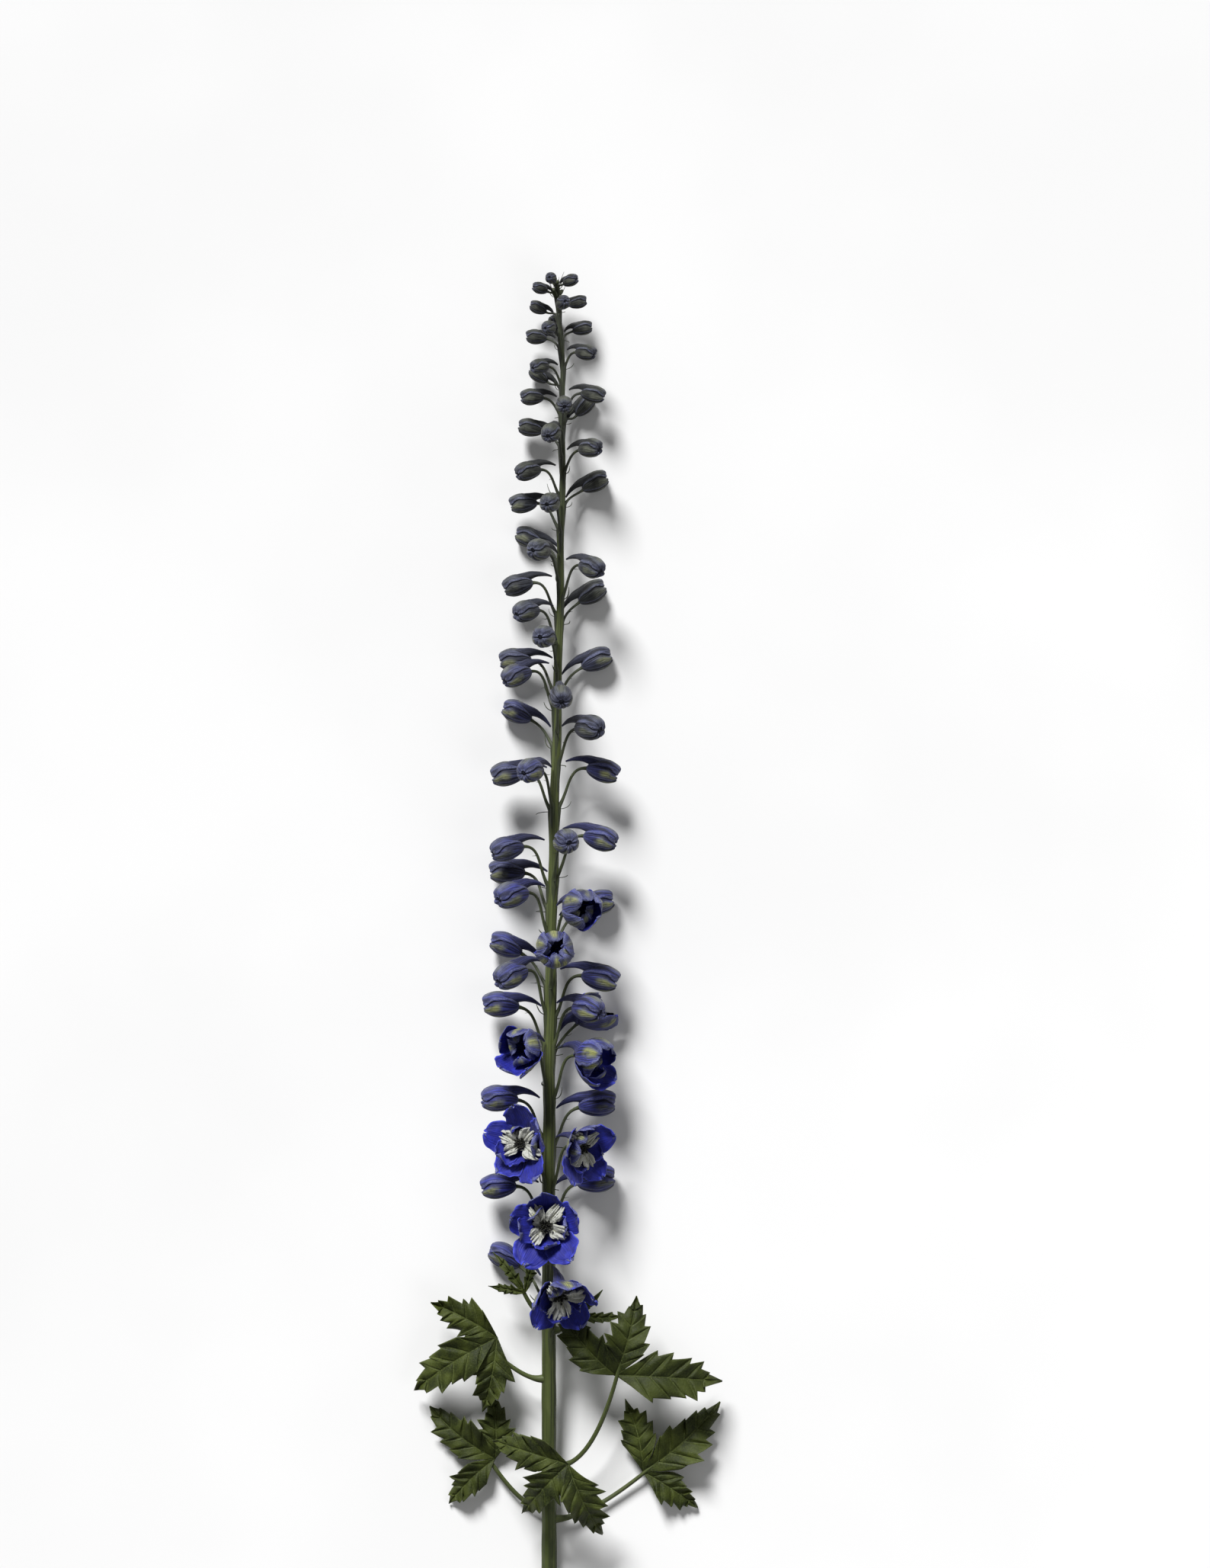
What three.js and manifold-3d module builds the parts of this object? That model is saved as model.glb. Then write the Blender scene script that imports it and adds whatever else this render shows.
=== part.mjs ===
// Delphinium flower spike: one cut stem of a tall garden delphinium, lying on a level surface at Z = 0.
// Millimetres, +Z up. The stem runs along +Y from its cut end to the tip, and +X is to the right.
// A floret is placed by its height (how far up the stem it hangs) and its turn (degrees round the stem,
// 0 towards +X and 90 straight up). Buds below the stem are turned along it by the surface they lie on.
import * as THREE from 'three';
import { mergeVertices } from 'three/addons/utils/BufferGeometryUtils.js';
import Module from 'manifold-3d';

const wasm = await Module();
wasm.setup();

const { lerp, clamp, degToRad, smoothstep } = THREE.MathUtils;
const vec = (x, y, z) => new THREE.Vector3(x, y, z);
const UP_STEM = vec(0, 1, 0);

// ---------- driving dimensions ----------
const STEM_LENGTH = 946;
const CUT_RADIUS = 5.2;
const TIP_RADIUS = 1.3;
const LYING_LIFT = 19.7; // how far the florets hold the stem's axis above its cut end
const TIP_DROP = 6; // how much lower than that the slender top lies
const SWAY = 9.5; // how far the upper half leans to the right
const SWAY_BACK = 4.5; // how far the very tip leans back
const CUT_END_SINKS = 0.93; // height of the cut end's middle, as a share of its radius
const BUD_LENGTH = 21.5; // a full-grown closed bud, without its spur
const BUD_WIDTH = 16.5;
const SEPAL_LENGTH = 27;
const SPUR_LENGTH = 15;
const PEDICEL_RADIUS = 1.0;
const BLADE = 0.8; // thickness of sepals, petals and leaves
const GAP = 0.3; // clearance between neighbouring pieces
const SLIVER = 0.1; // parts of facets narrower than this are merged after joining
const LEAST_SPUR_ROOM = 2.5; // what stays free between a spur's point and the stem
const PRESS = 0.8; // how deep the lowest florets are pressed flat against the surface
const FUSED_ABOVE = 858; // buds higher than this are still green and of one piece with the stem's tip
const BRACTS_BELOW = 720; // higher up, bracts are mere hairs
const CRUSHED = -0.35; // florets that face further down than this have their bracts crushed under them

// ---------- where the florets sit: [height, turn] ----------
const BUDS = [
  [280, 208], [330, 186], [334, 338], [386, 342], [391, 165], [454, 190], [453, 42], [473, 2], [476, 140],
  [494, 205], [523, 338], [530, 142], [545, 202], [561, 158], [566, 78], [568, 14], [614, 118], [612, 176],
  [614, 4], [643, 48], [654, 212], [664, 84], [679, 152], [690, 198], [690, 328], [704, 106], [722, 138],
  [736, 318], [741, 184], [752, 40], [763, 122], [774, 215], [795, 104], [797, 186], [812, 330], [818, 158],
  [833, 36], [843, 110], [849, 196],
];
const TIP_BUDS = [
  [862, 88], [865, 312], [869, 168], [871, 8], [886, 212], [889, 140], [899, 24], [911, 190], [915, 118],
  [917, 345], [921, 262], [931, 200], [932, 76], [934, 8], [943, 150], [948, 40], [949, 106],
];
// Florets on the point of opening: [height, turn, openness, gape]. Gape is how much further the lower sepals
// are open than the upper one, which stays over the throat as a hood.
const OPENING = [
  [419, 31, 0.36, 0.2], [428, 120, 0.34, 0.24], [448, 326, 0.34, 0.2], [494, 84, 0.16, 0.08], [521, 58, 0.2, 0.12],
];
// Open florets: [height, turn, openness, gape, nod]. Nod is how far the face hangs below straight out, in degrees.
const BLOOMS = [
  [258, 78, 0.7, 0.2, 34], [307, 92, 0.84, 0.12, -4], [358, 46, 0.72, 0.14, 8], [362, 126, 0.88, 0.1, -6],
];
// Stem leaves: [height, turn, petiole length, its climb, lobes]. Climb is how steeply the petiole rises along the
// stem. A lobe is [heading, length, width, sweep, arch, droop]: heading is from +X towards the tip, sweep is how far
// its outer half turns aside, arch lifts its middle and droop lowers its tip.
const LEAVES = [
  [100, 350, 68, 28, [[-26, 46, 24, -16, 7, 4], [35, 72, 32, 14, 12, 2], [92, 52, 28, 24, 9, 3]]],
  [108, 190, 46, 46, [[84, 44, 24, 18, 8, 2], [150, 58, 30, -16, 10, 4], [214, 46, 24, 22, 8, 4]]],
  [124, 70, 40, 32, [[158, 54, 30, 16, 12, 18], [220, 50, 26, 20, 10, 22], [288, 58, 28, 12, 8, 26]]],
  [138, 22, 78, 56, [[2, 74, 34, -14, 16, 12], [68, 56, 30, 14, 12, 2], [140, 58, 30, -18, 12, 4]]],
  [198, 172, 42, 44, [[142, 52, 26, 22, 10, 4], [204, 70, 34, 20, 14, 14], [266, 54, 28, -14, 8, 8]]],
  [232, 8, 16, 40, [[-50, 24, 8, -12, 3, 2], [-8, 34, 9, 12, 4, 3], [34, 26, 8, 14, 3, 2]]],
  [244, 160, 18, 50, [[80, 27, 8, -14, 3, 3], [122, 36, 9, 14, 4, 4], [164, 26, 8, 12, 3, 3]]],
];

// A small repeatable generator, so that every build scatters the florets alike.
function seeded(seed) {
  let state = seed;
  return () => (state = (state * 16807) % 2147483647) / 2147483647;
}

// ---------- how the plant changes up its stem ----------
const stemRadius = (h) => lerp(CUT_RADIUS, TIP_RADIUS, (clamp(h, 0, STEM_LENGTH) / STEM_LENGTH) ** 1.5);
const floretSize = (h) => 0.5 + 0.65 * (1 - Math.exp((h - 950) / 190)); // share of full size
const floretReach = (h) => 10.5 + 24 * (1 - Math.exp((h - 955) / 150)); // floret's middle to the stem's axis
const pedicelRise = (h) => 40 * (floretSize(h) - 0.42); // how far below the floret its pedicel leaves the stem

function axis(h) {
  const sway = SWAY * smoothstep(h, 350, 880) - SWAY_BACK * smoothstep(h, 880, 960);
  const lift = LYING_LIFT * smoothstep(h, 20, 300) - TIP_DROP * smoothstep(h, 560, 950);
  return vec(sway, h, CUT_END_SINKS * CUT_RADIUS + lift);
}

function outward(turn) {
  return vec(Math.cos(degToRad(turn)), 0, Math.sin(degToRad(turn)));
}

// ---------- solids ----------
function solidOf(geometry) {
  const bare = new THREE.BufferGeometry();
  bare.setAttribute('position', geometry.getAttribute('position'));
  bare.setIndex(geometry.index);
  const merged = mergeVertices(bare, 1e-4);
  return new wasm.Manifold(new wasm.Mesh({
    numProp: 3,
    vertProperties: merged.attributes.position.array,
    triVerts: new Uint32Array(merged.index.array),
  }));
}

const joined = (solids) => solids.reduce((all, next) => all.add(next));

// Moves every vertex of a geometry by a rule.
function bend(geometry, rule) {
  const position = geometry.getAttribute('position');
  const point = vec(0, 0, 0);
  for (let i = 0; i < position.count; i++) {
    const moved = rule(point.fromBufferAttribute(position, i));
    position.setXYZ(i, moved.x, moved.y, moved.z);
  }
  return geometry;
}

// A tapering round rod along a curve. A slant shears its first end, as a knife does.
function rod(curve, radiusAt, sides, steps, slant = 0) {
  const frames = curve.computeFrenetFrames(steps, false);
  return bend(new THREE.CylinderGeometry(1, 1, 1, sides, steps), ({ x, y, z }) => {
    const step = Math.round((y + 0.5) * steps);
    const radius = radiusAt(step / steps);
    const shear = step === 0 ? slant * x * radius : 0;
    return curve.getPointAt(step / steps)
      .addScaledVector(frames.normals[step], x * radius)
      .addScaledVector(frames.binormals[step], -z * radius)
      .addScaledVector(frames.tangents[step], shear);
  });
}

// A thin closed blade: a grid over u along it (0 to 1) and v across it (-1 to 1), thickened both ways.
function blade(alongCells, acrossCells, midSurface) {
  const nu = alongCells + 1;
  const nv = acrossCells + 1;
  const at = (i, j) => midSurface(clamp(i / alongCells, 0, 1), clamp((2 * j) / acrossCells - 1, -1, 1));
  const vertices = [];
  for (const side of [1, -1]) {
    for (let i = 0; i < nu; i++) {
      for (let j = 0; j < nv; j++) {
        const along = at(i + 1, j).sub(at(i - 1, j));
        const across = at(i, j + 1).sub(at(i, j - 1));
        const normal = along.cross(across).normalize();
        vertices.push(...at(i, j).addScaledVector(normal, (side * BLADE) / 2));
      }
    }
  }
  const top = (i, j) => i * nv + j;
  const under = (i, j) => nu * nv + top(i, j);
  const faces = [];
  for (let i = 0; i < alongCells; i++) {
    for (let j = 0; j < acrossCells; j++) {
      faces.push(top(i, j), top(i + 1, j), top(i + 1, j + 1), top(i, j), top(i + 1, j + 1), top(i, j + 1));
      faces.push(under(i, j), under(i + 1, j + 1), under(i + 1, j));
      faces.push(under(i, j), under(i, j + 1), under(i + 1, j + 1));
    }
  }
  const rim = [];
  for (let j = 0; j < acrossCells; j++) rim.push([0, j]);
  for (let i = 0; i < alongCells; i++) rim.push([i, acrossCells]);
  for (let j = acrossCells; j > 0; j--) rim.push([alongCells, j]);
  for (let i = alongCells; i > 0; i--) rim.push([i, 0]);
  rim.forEach(([i, j], k) => {
    const [p, q] = rim[(k + 1) % rim.length];
    faces.push(top(i, j), top(p, q), under(p, q), top(i, j), under(p, q), under(i, j));
  });
  const geometry = new THREE.BufferGeometry();
  geometry.setAttribute('position', new THREE.Float32BufferAttribute(vertices, 3));
  return geometry.setIndex(faces);
}

// Nothing reaches below the surface: what would is pressed flat on it.
const SURFACE = (() => {
  const size = 2400;
  const depth = 60;
  const below = new THREE.BoxGeometry(size, size, depth);
  return solidOf(below.translate(0, 0, -depth / 2));
})();

function pressed(solid) {
  return solid.boundingBox().min[2] < 0 ? solid.subtract(SURFACE) : solid;
}

// ---------- placing a floret ----------
const SIZE_SPREAD = 0.06; // florets of one height differ in size by up to this share
const TURN_SPREAD = 3; // and stand up to this many degrees off their turn
const HANG_RANGE = [-8, 14]; // how far a floret may face below straight out, in degrees
const TIP_RISE = 24; // how much less those at the tip do
const LEVEL_ENOUGH = 0.12; // florets that face down by more than this are tilted up the stem by the surface

// A floret's own frame has its base at the origin, +Z the way it faces and +Y its upper side, where the spur is.
function placeFloret(height, turn, draw, nod = null) {
  const size = floretSize(height) * lerp(1 - SIZE_SPREAD, 1 + SIZE_SPREAD, draw());
  const turned = turn + lerp(-TURN_SPREAD, TURN_SPREAD, draw());
  const hang = nod ?? lerp(...HANG_RANGE, draw()) - TIP_RISE * smoothstep(height, 860, 950);
  const length = BUD_LENGTH * size;
  const width = BUD_WIDTH * size;
  const out = outward(turned);
  const face = out.clone().multiplyScalar(Math.cos(degToRad(hang)));
  face.addScaledVector(UP_STEM, -Math.sin(degToRad(hang)));
  const underTilt = Math.max(0, -face.z - LEVEL_ENOUGH);
  face.add(vec(0, underTilt * 1.3, underTilt)).normalize();
  const middle = axis(height).addScaledVector(out, floretReach(height));
  const depth = Math.hypot((width / 2) * Math.sqrt(1 - face.z ** 2), (length / 2) * face.z);
  middle.z = Math.max(middle.z, depth - PRESS);
  const base = middle.addScaledVector(face, -length / 2);
  const lean = -face.y;
  const levelled = face.clone().addScaledVector(UP_STEM, lean).normalize();
  const upper = UP_STEM.clone().multiplyScalar(Math.sqrt(1 - lean ** 2)).addScaledVector(levelled, lean).normalize();
  const frame = new THREE.Matrix4().makeBasis(upper.clone().cross(face), upper, face).setPosition(base);
  return { height, out, size, length, width, face, base, frame };
}

// ---------- the parts of a floret ----------
const SEAM = 0.1; // how deep the seams between the five sepals are, as a share of the radius
const BASE_TAPER = 0.2; // how much slimmer the bud is at its base than at its blunt outer end

// The closed bud: five sepals folded over each other into a blunt barrel.
function budBody({ length, width }, sides, rings, seam) {
  const ball = new THREE.SphereGeometry(1, sides, rings).rotateY(Math.PI / 10);
  return solidOf(bend(ball, ({ x, y, z }) => {
    const round = Math.hypot(x, z);
    const angle = Math.atan2(-z, x);
    const groove = 0.5 - 0.5 * Math.cos(5 * (angle - Math.PI / 2));
    const share = (1 + y) / 2;
    const barrel = (width / 2) * (1 - BASE_TAPER * (1 - share) ** 2) * (1 - seam * groove);
    const radius = round < 1e-6 ? 0 : barrel * round ** -0.25;
    return vec(x * radius, -z * radius, length * share ** 0.8);
  }));
}

// The hollow spur that runs back from the upper sepal towards the stem.
function spur({ height, size, base, out, length, width }, sides, steps) {
  const room = base.clone().sub(axis(height)).dot(out) - stemRadius(height) - LEAST_SPUR_ROOM;
  const reach = Math.min(SPUR_LENGTH * size, Math.max(room, 3 * size));
  const path = new THREE.QuadraticBezierCurve3(
    vec(0, 0.26 * width, 0.3 * length),
    vec(0, 0.58 * width, -0.2 * reach),
    vec(0, 0.3 * width, -reach),
  );
  return solidOf(rod(path, (t) => lerp(0.17 * width, 0.55, t ** 0.8), sides, steps));
}

// A sepal leaves the floret's base steeply outwards and curls back in: closed, it meets the others at the tip.
// Its half-width is held to its fifth of the whorl, so that neighbours meet edge to edge.
const SEPAL_START = degToRad(68);
const FIFTH = Math.tan(degToRad(36));
const SEPAL_FOOT = 2.2; // how far from the floret's middle a sepal starts
const CURL = [128, 6]; // degrees that a sepal turns through, closed and wide open
const HALF_WIDTH = [0.27, 0.38]; // share of its length, closed and wide open

function sepal({ size }, angle, openness, share, lift) {
  const reach = SEPAL_LENGTH * size * share;
  const curl = degToRad(lerp(...CURL, openness));
  const halfWidth = reach * lerp(...HALF_WIDTH, openness);
  const radial = vec(Math.cos(angle), Math.sin(angle), 0);
  const sideways = vec(-Math.sin(angle), Math.cos(angle), 0);
  return solidOf(blade(3, 2, (u, v) => {
    const lean = SEPAL_START - curl * u;
    const rho = SEPAL_FOOT * size + (reach * (Math.cos(lean) - Math.cos(SEPAL_START))) / curl;
    const rise = lift + (reach * (Math.sin(SEPAL_START) - Math.sin(lean))) / curl;
    const outline = halfWidth * Math.sqrt(1 - ((u - 0.56) / (u < 0.56 ? 0.58 : 0.5)) ** 2);
    const across = v * Math.min(outline, rho * FIFTH - 0.75);
    const roundness = (rho + 2) / (1 - 0.75 * openness);
    const wrap = clamp(across / roundness, -1.2, 1.2);
    const inward = roundness * (1 - Math.cos(wrap));
    return radial.clone().multiplyScalar(rho - inward * Math.cos(lean))
      .addScaledVector(sideways, roundness * Math.sin(wrap))
      .add(vec(0, 0, rise + inward * Math.sin(lean)));
  }));
}

// The green cup that the sepals grow from.
const CUP_RADIUS = 3.6;
const CUP_HEIGHT = 3.4;

function receptacle(size) {
  const cup = new THREE.SphereGeometry(size, 6, 3).rotateX(Math.PI / 2);
  return solidOf(cup.scale(CUP_RADIUS, CUP_RADIUS, CUP_HEIGHT / 2).translate(0, 0, (CUP_HEIGHT / 2) * size));
}

function openSepals(floret, openness, gape, inner) {
  const parts = [receptacle(floret.size), spur({ ...floret, length: floret.length * 0.3 }, 3, 2)];
  for (let k = 0; k < 5; k++) {
    const angle = degToRad(90 + 72 * k);
    parts.push(sepal(floret, angle, clamp(openness - gape * Math.sin(angle), 0.05, 1), 1, 0.7));
  }
  for (let k = 0; k < inner; k++) {
    parts.push(sepal(floret, degToRad(126 + 72 * k), openness * 0.86, 0.8, 2.2));
  }
  return joined(parts);
}

// The pale inner petals, called the bee: notched tongues round the throat.
const TONGUE_LENGTH = 12;
const TONGUE_COUNT = 4;

function bee({ size }, openness) {
  const foot = (CUP_HEIGHT + 0.3) * size + GAP;
  const core = new THREE.CylinderGeometry(1.5 * size, 1.9 * size, 2.6 * size, 5, 1);
  const parts = [solidOf(core.rotateX(Math.PI / 2).translate(0, 0, foot + 1.3 * size))];
  for (let k = 0; k < TONGUE_COUNT; k++) {
    const angle = degToRad(45 + (360 / TONGUE_COUNT) * k);
    const radial = vec(Math.cos(angle), Math.sin(angle), 0);
    const sideways = vec(-Math.sin(angle), Math.cos(angle), 0);
    const reach = TONGUE_LENGTH * size;
    parts.push(solidOf(blade(2, 2, (u, v) => {
      const lean = degToRad(lerp(6, 24, openness) + lerp(6, 40, openness) * u);
      const along = reach * (u - (u > 0.9 ? 0.14 * (1 - Math.abs(v)) : 0));
      return radial.clone().multiplyScalar(1.3 * size + along * Math.sin(lean))
        .addScaledVector(sideways, v * size * lerp(0.9, 3.9, Math.sin(u * 2)))
        .add(vec(0, 0, foot + 1.2 * size + along * Math.cos(lean) - Math.abs(v) * size * 0.6));
    })));
  }
  return joined(parts);
}

// ---------- the stem and what is of one piece with it ----------
const CUT_SLANT = 0.5; // how far the cut slants along the stem for each millimetre across it
const AXIS_STEPS = 48;

function mainStem() {
  const points = [];
  for (let k = 0; k <= AXIS_STEPS; k++) points.push(axis((STEM_LENGTH * k) / AXIS_STEPS));
  return solidOf(rod(new THREE.CatmullRomCurve3(points), (t) => stemRadius(STEM_LENGTH * t), 8, 17, CUT_SLANT));
}

// The stalk of one floret: it leaves the stem steeply upwards and arches over to meet the floret's base.
function pedicel({ height, out, size, base, face }) {
  const root = height - pedicelRise(height);
  const start = axis(root).addScaledVector(out, stemRadius(root) * 0.4);
  const end = base.clone().addScaledVector(face, -GAP);
  const span = start.distanceTo(end);
  const path = new THREE.CubicBezierCurve3(
    start,
    start.clone().addScaledVector(out, 0.24 * span).addScaledVector(UP_STEM, 0.3 * span),
    end.clone().addScaledVector(face, -0.4 * span),
    end,
  );
  const radius = PEDICEL_RADIUS * lerp(0.55, 1, size);
  return solidOf(rod(path, (t) => radius * lerp(1.25, 0.95, t), 3, height > FUSED_ABOVE ? 2 : 3));
}

// The narrow bract below a pedicel.
function bract({ height, out, size }) {
  const root = height - pedicelRise(height) - 1.5;
  const start = axis(root).addScaledVector(out, stemRadius(root) * 0.5);
  const tip = start.clone().addScaledVector(out, 8 * size + 2).addScaledVector(UP_STEM, 7 * size);
  return solidOf(rod(new THREE.LineCurve3(start, tip), (t) => 0.9 * size * (1 - 0.6 * t), 3, 1));
}

// The undeveloped buds crowded at the very tip, each a golden angle further round than the last.
const GOLDEN_ANGLE = 137.5;

function crown() {
  const parts = [];
  for (let k = 0; k < 4; k++) {
    const out = outward(GOLDEN_ANGLE * k + 20);
    const middle = axis(STEM_LENGTH + 1 - 1.6 * k).addScaledVector(out, 1.1 + 0.4 * k);
    const length = 4.6 + 0.5 * k;
    const grain = new THREE.SphereGeometry(1, 5, 3).scale(0.4 * length, 0.55 * length, 0.4 * length);
    parts.push(solidOf(grain.translate(middle.x, middle.y, middle.z)));
  }
  return joined(parts);
}

// ---------- leaves ----------
// Half of a lobe's outline, from its shoulder to its tip: [share of its length, share of its half width].
const SHOULDER = [0.26, 0.5];
const BROAD_TEETH = [[0.5, 1], [0.54, 0.62], [0.76, 0.7]];
const NARROW_TEETH = [[0.55, 1]];
const NARROW_BELOW = 12; // lobes narrower than this have one tooth on each side
const LOBE_FOLD = 0.35; // how steeply the two halves of a lobe rise from its midrib
const UNDER_LEAF = 4; // a petiole dips this far under its leaf, to meet the blade from below
const LEAF_CLEARS = 6; // the least height of a petiole's end above the surface
const LEAF_EYE = 0.08; // a blade starts this share of the way from the petiole's end to its outline

const level = (heading) => vec(Math.cos(degToRad(heading)), Math.sin(degToRad(heading)), 0);

// The points of one lobe's outline, from its right shoulder to its left one. Each is a ray: it gives the point of
// the blade that is a share of the way from the petiole's end to the outline.
function lobeRays(end, [heading, length, width, sweep, arch, droop]) {
  const elbow = end.clone().addScaledVector(level(heading), length / 2);
  const tip = elbow.clone().addScaledVector(level(heading + sweep), length / 2);
  elbow.z += arch;
  tip.z -= droop;
  const midrib = new THREE.QuadraticBezierCurve3(end, elbow, tip);
  const ray = (place, reach) => (share) => {
    const aside = (reach * share * width) / 2;
    const { x, y } = midrib.getTangent(place * share);
    const point = midrib.getPoint(place * share).addScaledVector(vec(-y, x, 0).normalize(), aside);
    point.z = Math.max(point.z + LOBE_FOLD * Math.abs(aside), BLADE);
    return point;
  };
  const edge = [SHOULDER, ...(width < NARROW_BELOW ? NARROW_TEETH : BROAD_TEETH)];
  const right = edge.map(([place, reach]) => ray(place, -reach));
  const left = edge.map(([place, reach]) => ray(place, reach));
  return [...right, ray(1, 0), ...left.reverse()];
}

// A leaf: its petiole, and a blade of toothed lobes fanned round the petiole's end. Lobes meet at their shoulders.
function leaf([height, turn, petioleLength, climb, lobes]) {
  const out = outward(turn);
  const start = axis(height).addScaledVector(out, stemRadius(height) + 2 * GAP);
  const end = start.clone().addScaledVector(out, petioleLength * Math.cos(degToRad(climb)))
    .addScaledVector(UP_STEM, petioleLength * Math.sin(degToRad(climb)));
  end.z = Math.max(end.z, LEAF_CLEARS);
  const fans = lobes.map((row) => lobeRays(end, row));
  const midrib = fans[1][(fans[1].length - 1) / 2];
  const bow = start.clone().addScaledVector(out, petioleLength * 0.4);
  const under = midrib(0.1).add(vec(0, 0, -UNDER_LEAF));
  const path = new THREE.CubicBezierCurve3(start, bow, under, midrib(0.2));
  const petiole = solidOf(rod(path, (t) => lerp(1.6, 1.1, t), 3, 4));
  const rays = fans.reduce((done, next) => {
    const [left, right] = [done.at(-1), next[0]];
    return [...done.slice(0, -1), (share) => left(share).lerp(right(share), 0.5), ...next.slice(1)];
  });
  const count = rays.length - 1;
  const sheet = blade(2, count, (u, v) => rays[Math.round(((v + 1) / 2) * count)](lerp(LEAF_EYE, 1, u)));
  return petiole.add(solidOf(sheet));
}

// ---------- the plant ----------
const finish = (colour, roughness) => new THREE.MeshStandardMaterial({ color: colour, roughness, metalness: 0 });
const STEM_GREEN = finish(0x4c5a2c, 0.6);
const LEAF_GREEN = finish(0x3f5024, 0.55);
const BUD_INDIGO = finish(0x34387a, 0.6);
const SEPAL_BLUE = finish(0x2b2fb0, 0.5);
const BEE_WHITE = finish(0xd6d6c4, 0.7);

const plant = new THREE.Group();

function addPiece(name, solid, material) {
  const { vertProperties, triVerts } = pressed(solid).simplify(SLIVER).getMesh();
  const geometry = new THREE.BufferGeometry();
  geometry.setAttribute('position', new THREE.BufferAttribute(vertProperties, 3));
  geometry.setIndex(new THREE.BufferAttribute(triVerts, 1));
  const mesh = new THREE.Mesh(geometry, material);
  mesh.name = name;
  plant.add(mesh);
}

const placed = (solid, { frame }) => solid.transform(frame.elements);
const hasBract = ({ height, out }) => height < BRACTS_BELOW && out.z > CRUSHED;
const closedBud = (floret) => placed(budBody(floret, 10, 5, SEAM).add(spur(floret, 3, 2)), floret);
const greenBud = (floret) => placed(budBody(floret, 6, 4, 0), floret);

const draw = seeded(20);
const buds = BUDS.map(([height, turn]) => placeFloret(height, turn, draw));
const tipBuds = TIP_BUDS.map(([height, turn]) => placeFloret(height, turn, draw));
const opening = OPENING.map(([height, turn]) => placeFloret(height, turn, draw));
const blooms = BLOOMS.map(([height, turn, , , nod]) => placeFloret(height, turn, draw, nod));
const florets = [...buds, ...tipBuds, ...opening, ...blooms];

// A tip bud is sunk a little onto its pedicel, so that the two are one.
const sunk = (floret) => greenBud(floret).translate(floret.face.clone().multiplyScalar(-3 * GAP).toArray());
const stalks = [...florets.map(pedicel), ...florets.filter(hasBract).map(bract)];
addPiece('stem', joined([mainStem(), crown(), ...stalks, ...tipBuds.map(sunk)]), STEM_GREEN);

const numbered = (k) => String(k + 1).padStart(2, '0');
buds.forEach((floret, k) => addPiece(`bud_${numbered(k)}`, closedBud(floret), BUD_INDIGO));
opening.forEach((floret, k) => {
  const [, , openness, gape] = OPENING[k];
  addPiece(`opening_${numbered(k)}`, placed(openSepals(floret, openness, gape, 0), floret), SEPAL_BLUE);
});
blooms.forEach((floret, k) => {
  const [, , openness, gape] = BLOOMS[k];
  addPiece(`bloom_${numbered(k)}_sepals`, placed(openSepals(floret, openness, gape, 3), floret), SEPAL_BLUE);
  addPiece(`bloom_${numbered(k)}_bee`, placed(bee(floret, openness), floret), BEE_WHITE);
});
LEAVES.forEach((row, k) => addPiece(`leaf_${numbered(k)}`, leaf(row), LEAF_GREEN));

// The origin is the middle of the footprint, on the surface.
const footprint = new THREE.Box3().setFromObject(plant).getCenter(vec(0, 0, 0));
plant.position.set(-footprint.x, -footprint.y, 0);

export default plant;
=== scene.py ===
from math import comb, cos, exp, hypot, pi, radians, sin, sqrt, tan
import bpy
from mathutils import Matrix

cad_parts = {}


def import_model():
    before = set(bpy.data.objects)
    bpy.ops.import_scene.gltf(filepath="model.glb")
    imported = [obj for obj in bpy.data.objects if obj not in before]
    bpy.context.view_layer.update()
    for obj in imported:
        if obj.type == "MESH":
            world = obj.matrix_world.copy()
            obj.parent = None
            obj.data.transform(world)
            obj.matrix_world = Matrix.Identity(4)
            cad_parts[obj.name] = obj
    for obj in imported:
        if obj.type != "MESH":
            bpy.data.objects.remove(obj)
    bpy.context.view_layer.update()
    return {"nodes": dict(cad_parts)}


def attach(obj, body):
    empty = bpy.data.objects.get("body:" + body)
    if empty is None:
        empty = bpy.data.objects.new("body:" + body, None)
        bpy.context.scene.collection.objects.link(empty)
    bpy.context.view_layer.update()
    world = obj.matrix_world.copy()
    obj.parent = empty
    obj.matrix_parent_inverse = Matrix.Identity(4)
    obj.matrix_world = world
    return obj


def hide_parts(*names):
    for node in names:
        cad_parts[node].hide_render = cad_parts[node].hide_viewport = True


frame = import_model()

from types import SimpleNamespace

import bpy
import numpy as np

# The looks of a cut delphinium spike lying on a level surface. Each solid is replaced by a finer piece that
# keeps its form, so the layout below is the solids' own: millimetres, Y up the stem from its cut end, Z up.
# Heights are measured up the stem, and turns are degrees round it, 0 towards +X and 90 straight up.
MM = 0.001
UP_STEM = np.array([0.0, 1.0, 0.0])
SKYWARD = np.array([0.0, 0.0, 1.0])

# ----- driving dimensions -----
STEM_LENGTH = 946
CUT_RADIUS = 5.2
TIP_RADIUS = 1.3
LYING_LIFT = 19.7  # how far the florets hold the stem's axis above its cut end
TIP_DROP = 6  # how much lower the slender top lies
SWAY = 9.5  # how far the upper half leans to the right
SWAY_BACK = 4.5  # how far the very tip leans back
CUT_END_LEVEL = 0.93  # height of its middle, as a share of its radius
BUD_LENGTH = 21.5  # a full-grown closed bud, without its spur
BUD_WIDTH = 16.5
BASE_TAPER = 0.2  # how much slimmer a bud is at its base
SEPAL_LENGTH = 27
SPUR_LENGTH = 15
SPUR_CLEARS = 2.5  # what stays free between its point and the stem
PEDICEL_RADIUS = 1.0
GAP = 0.3  # clearance between the solids of neighbouring pieces
PRESS = 0.8  # how deep the lowest florets are pressed flat against the surface

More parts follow.
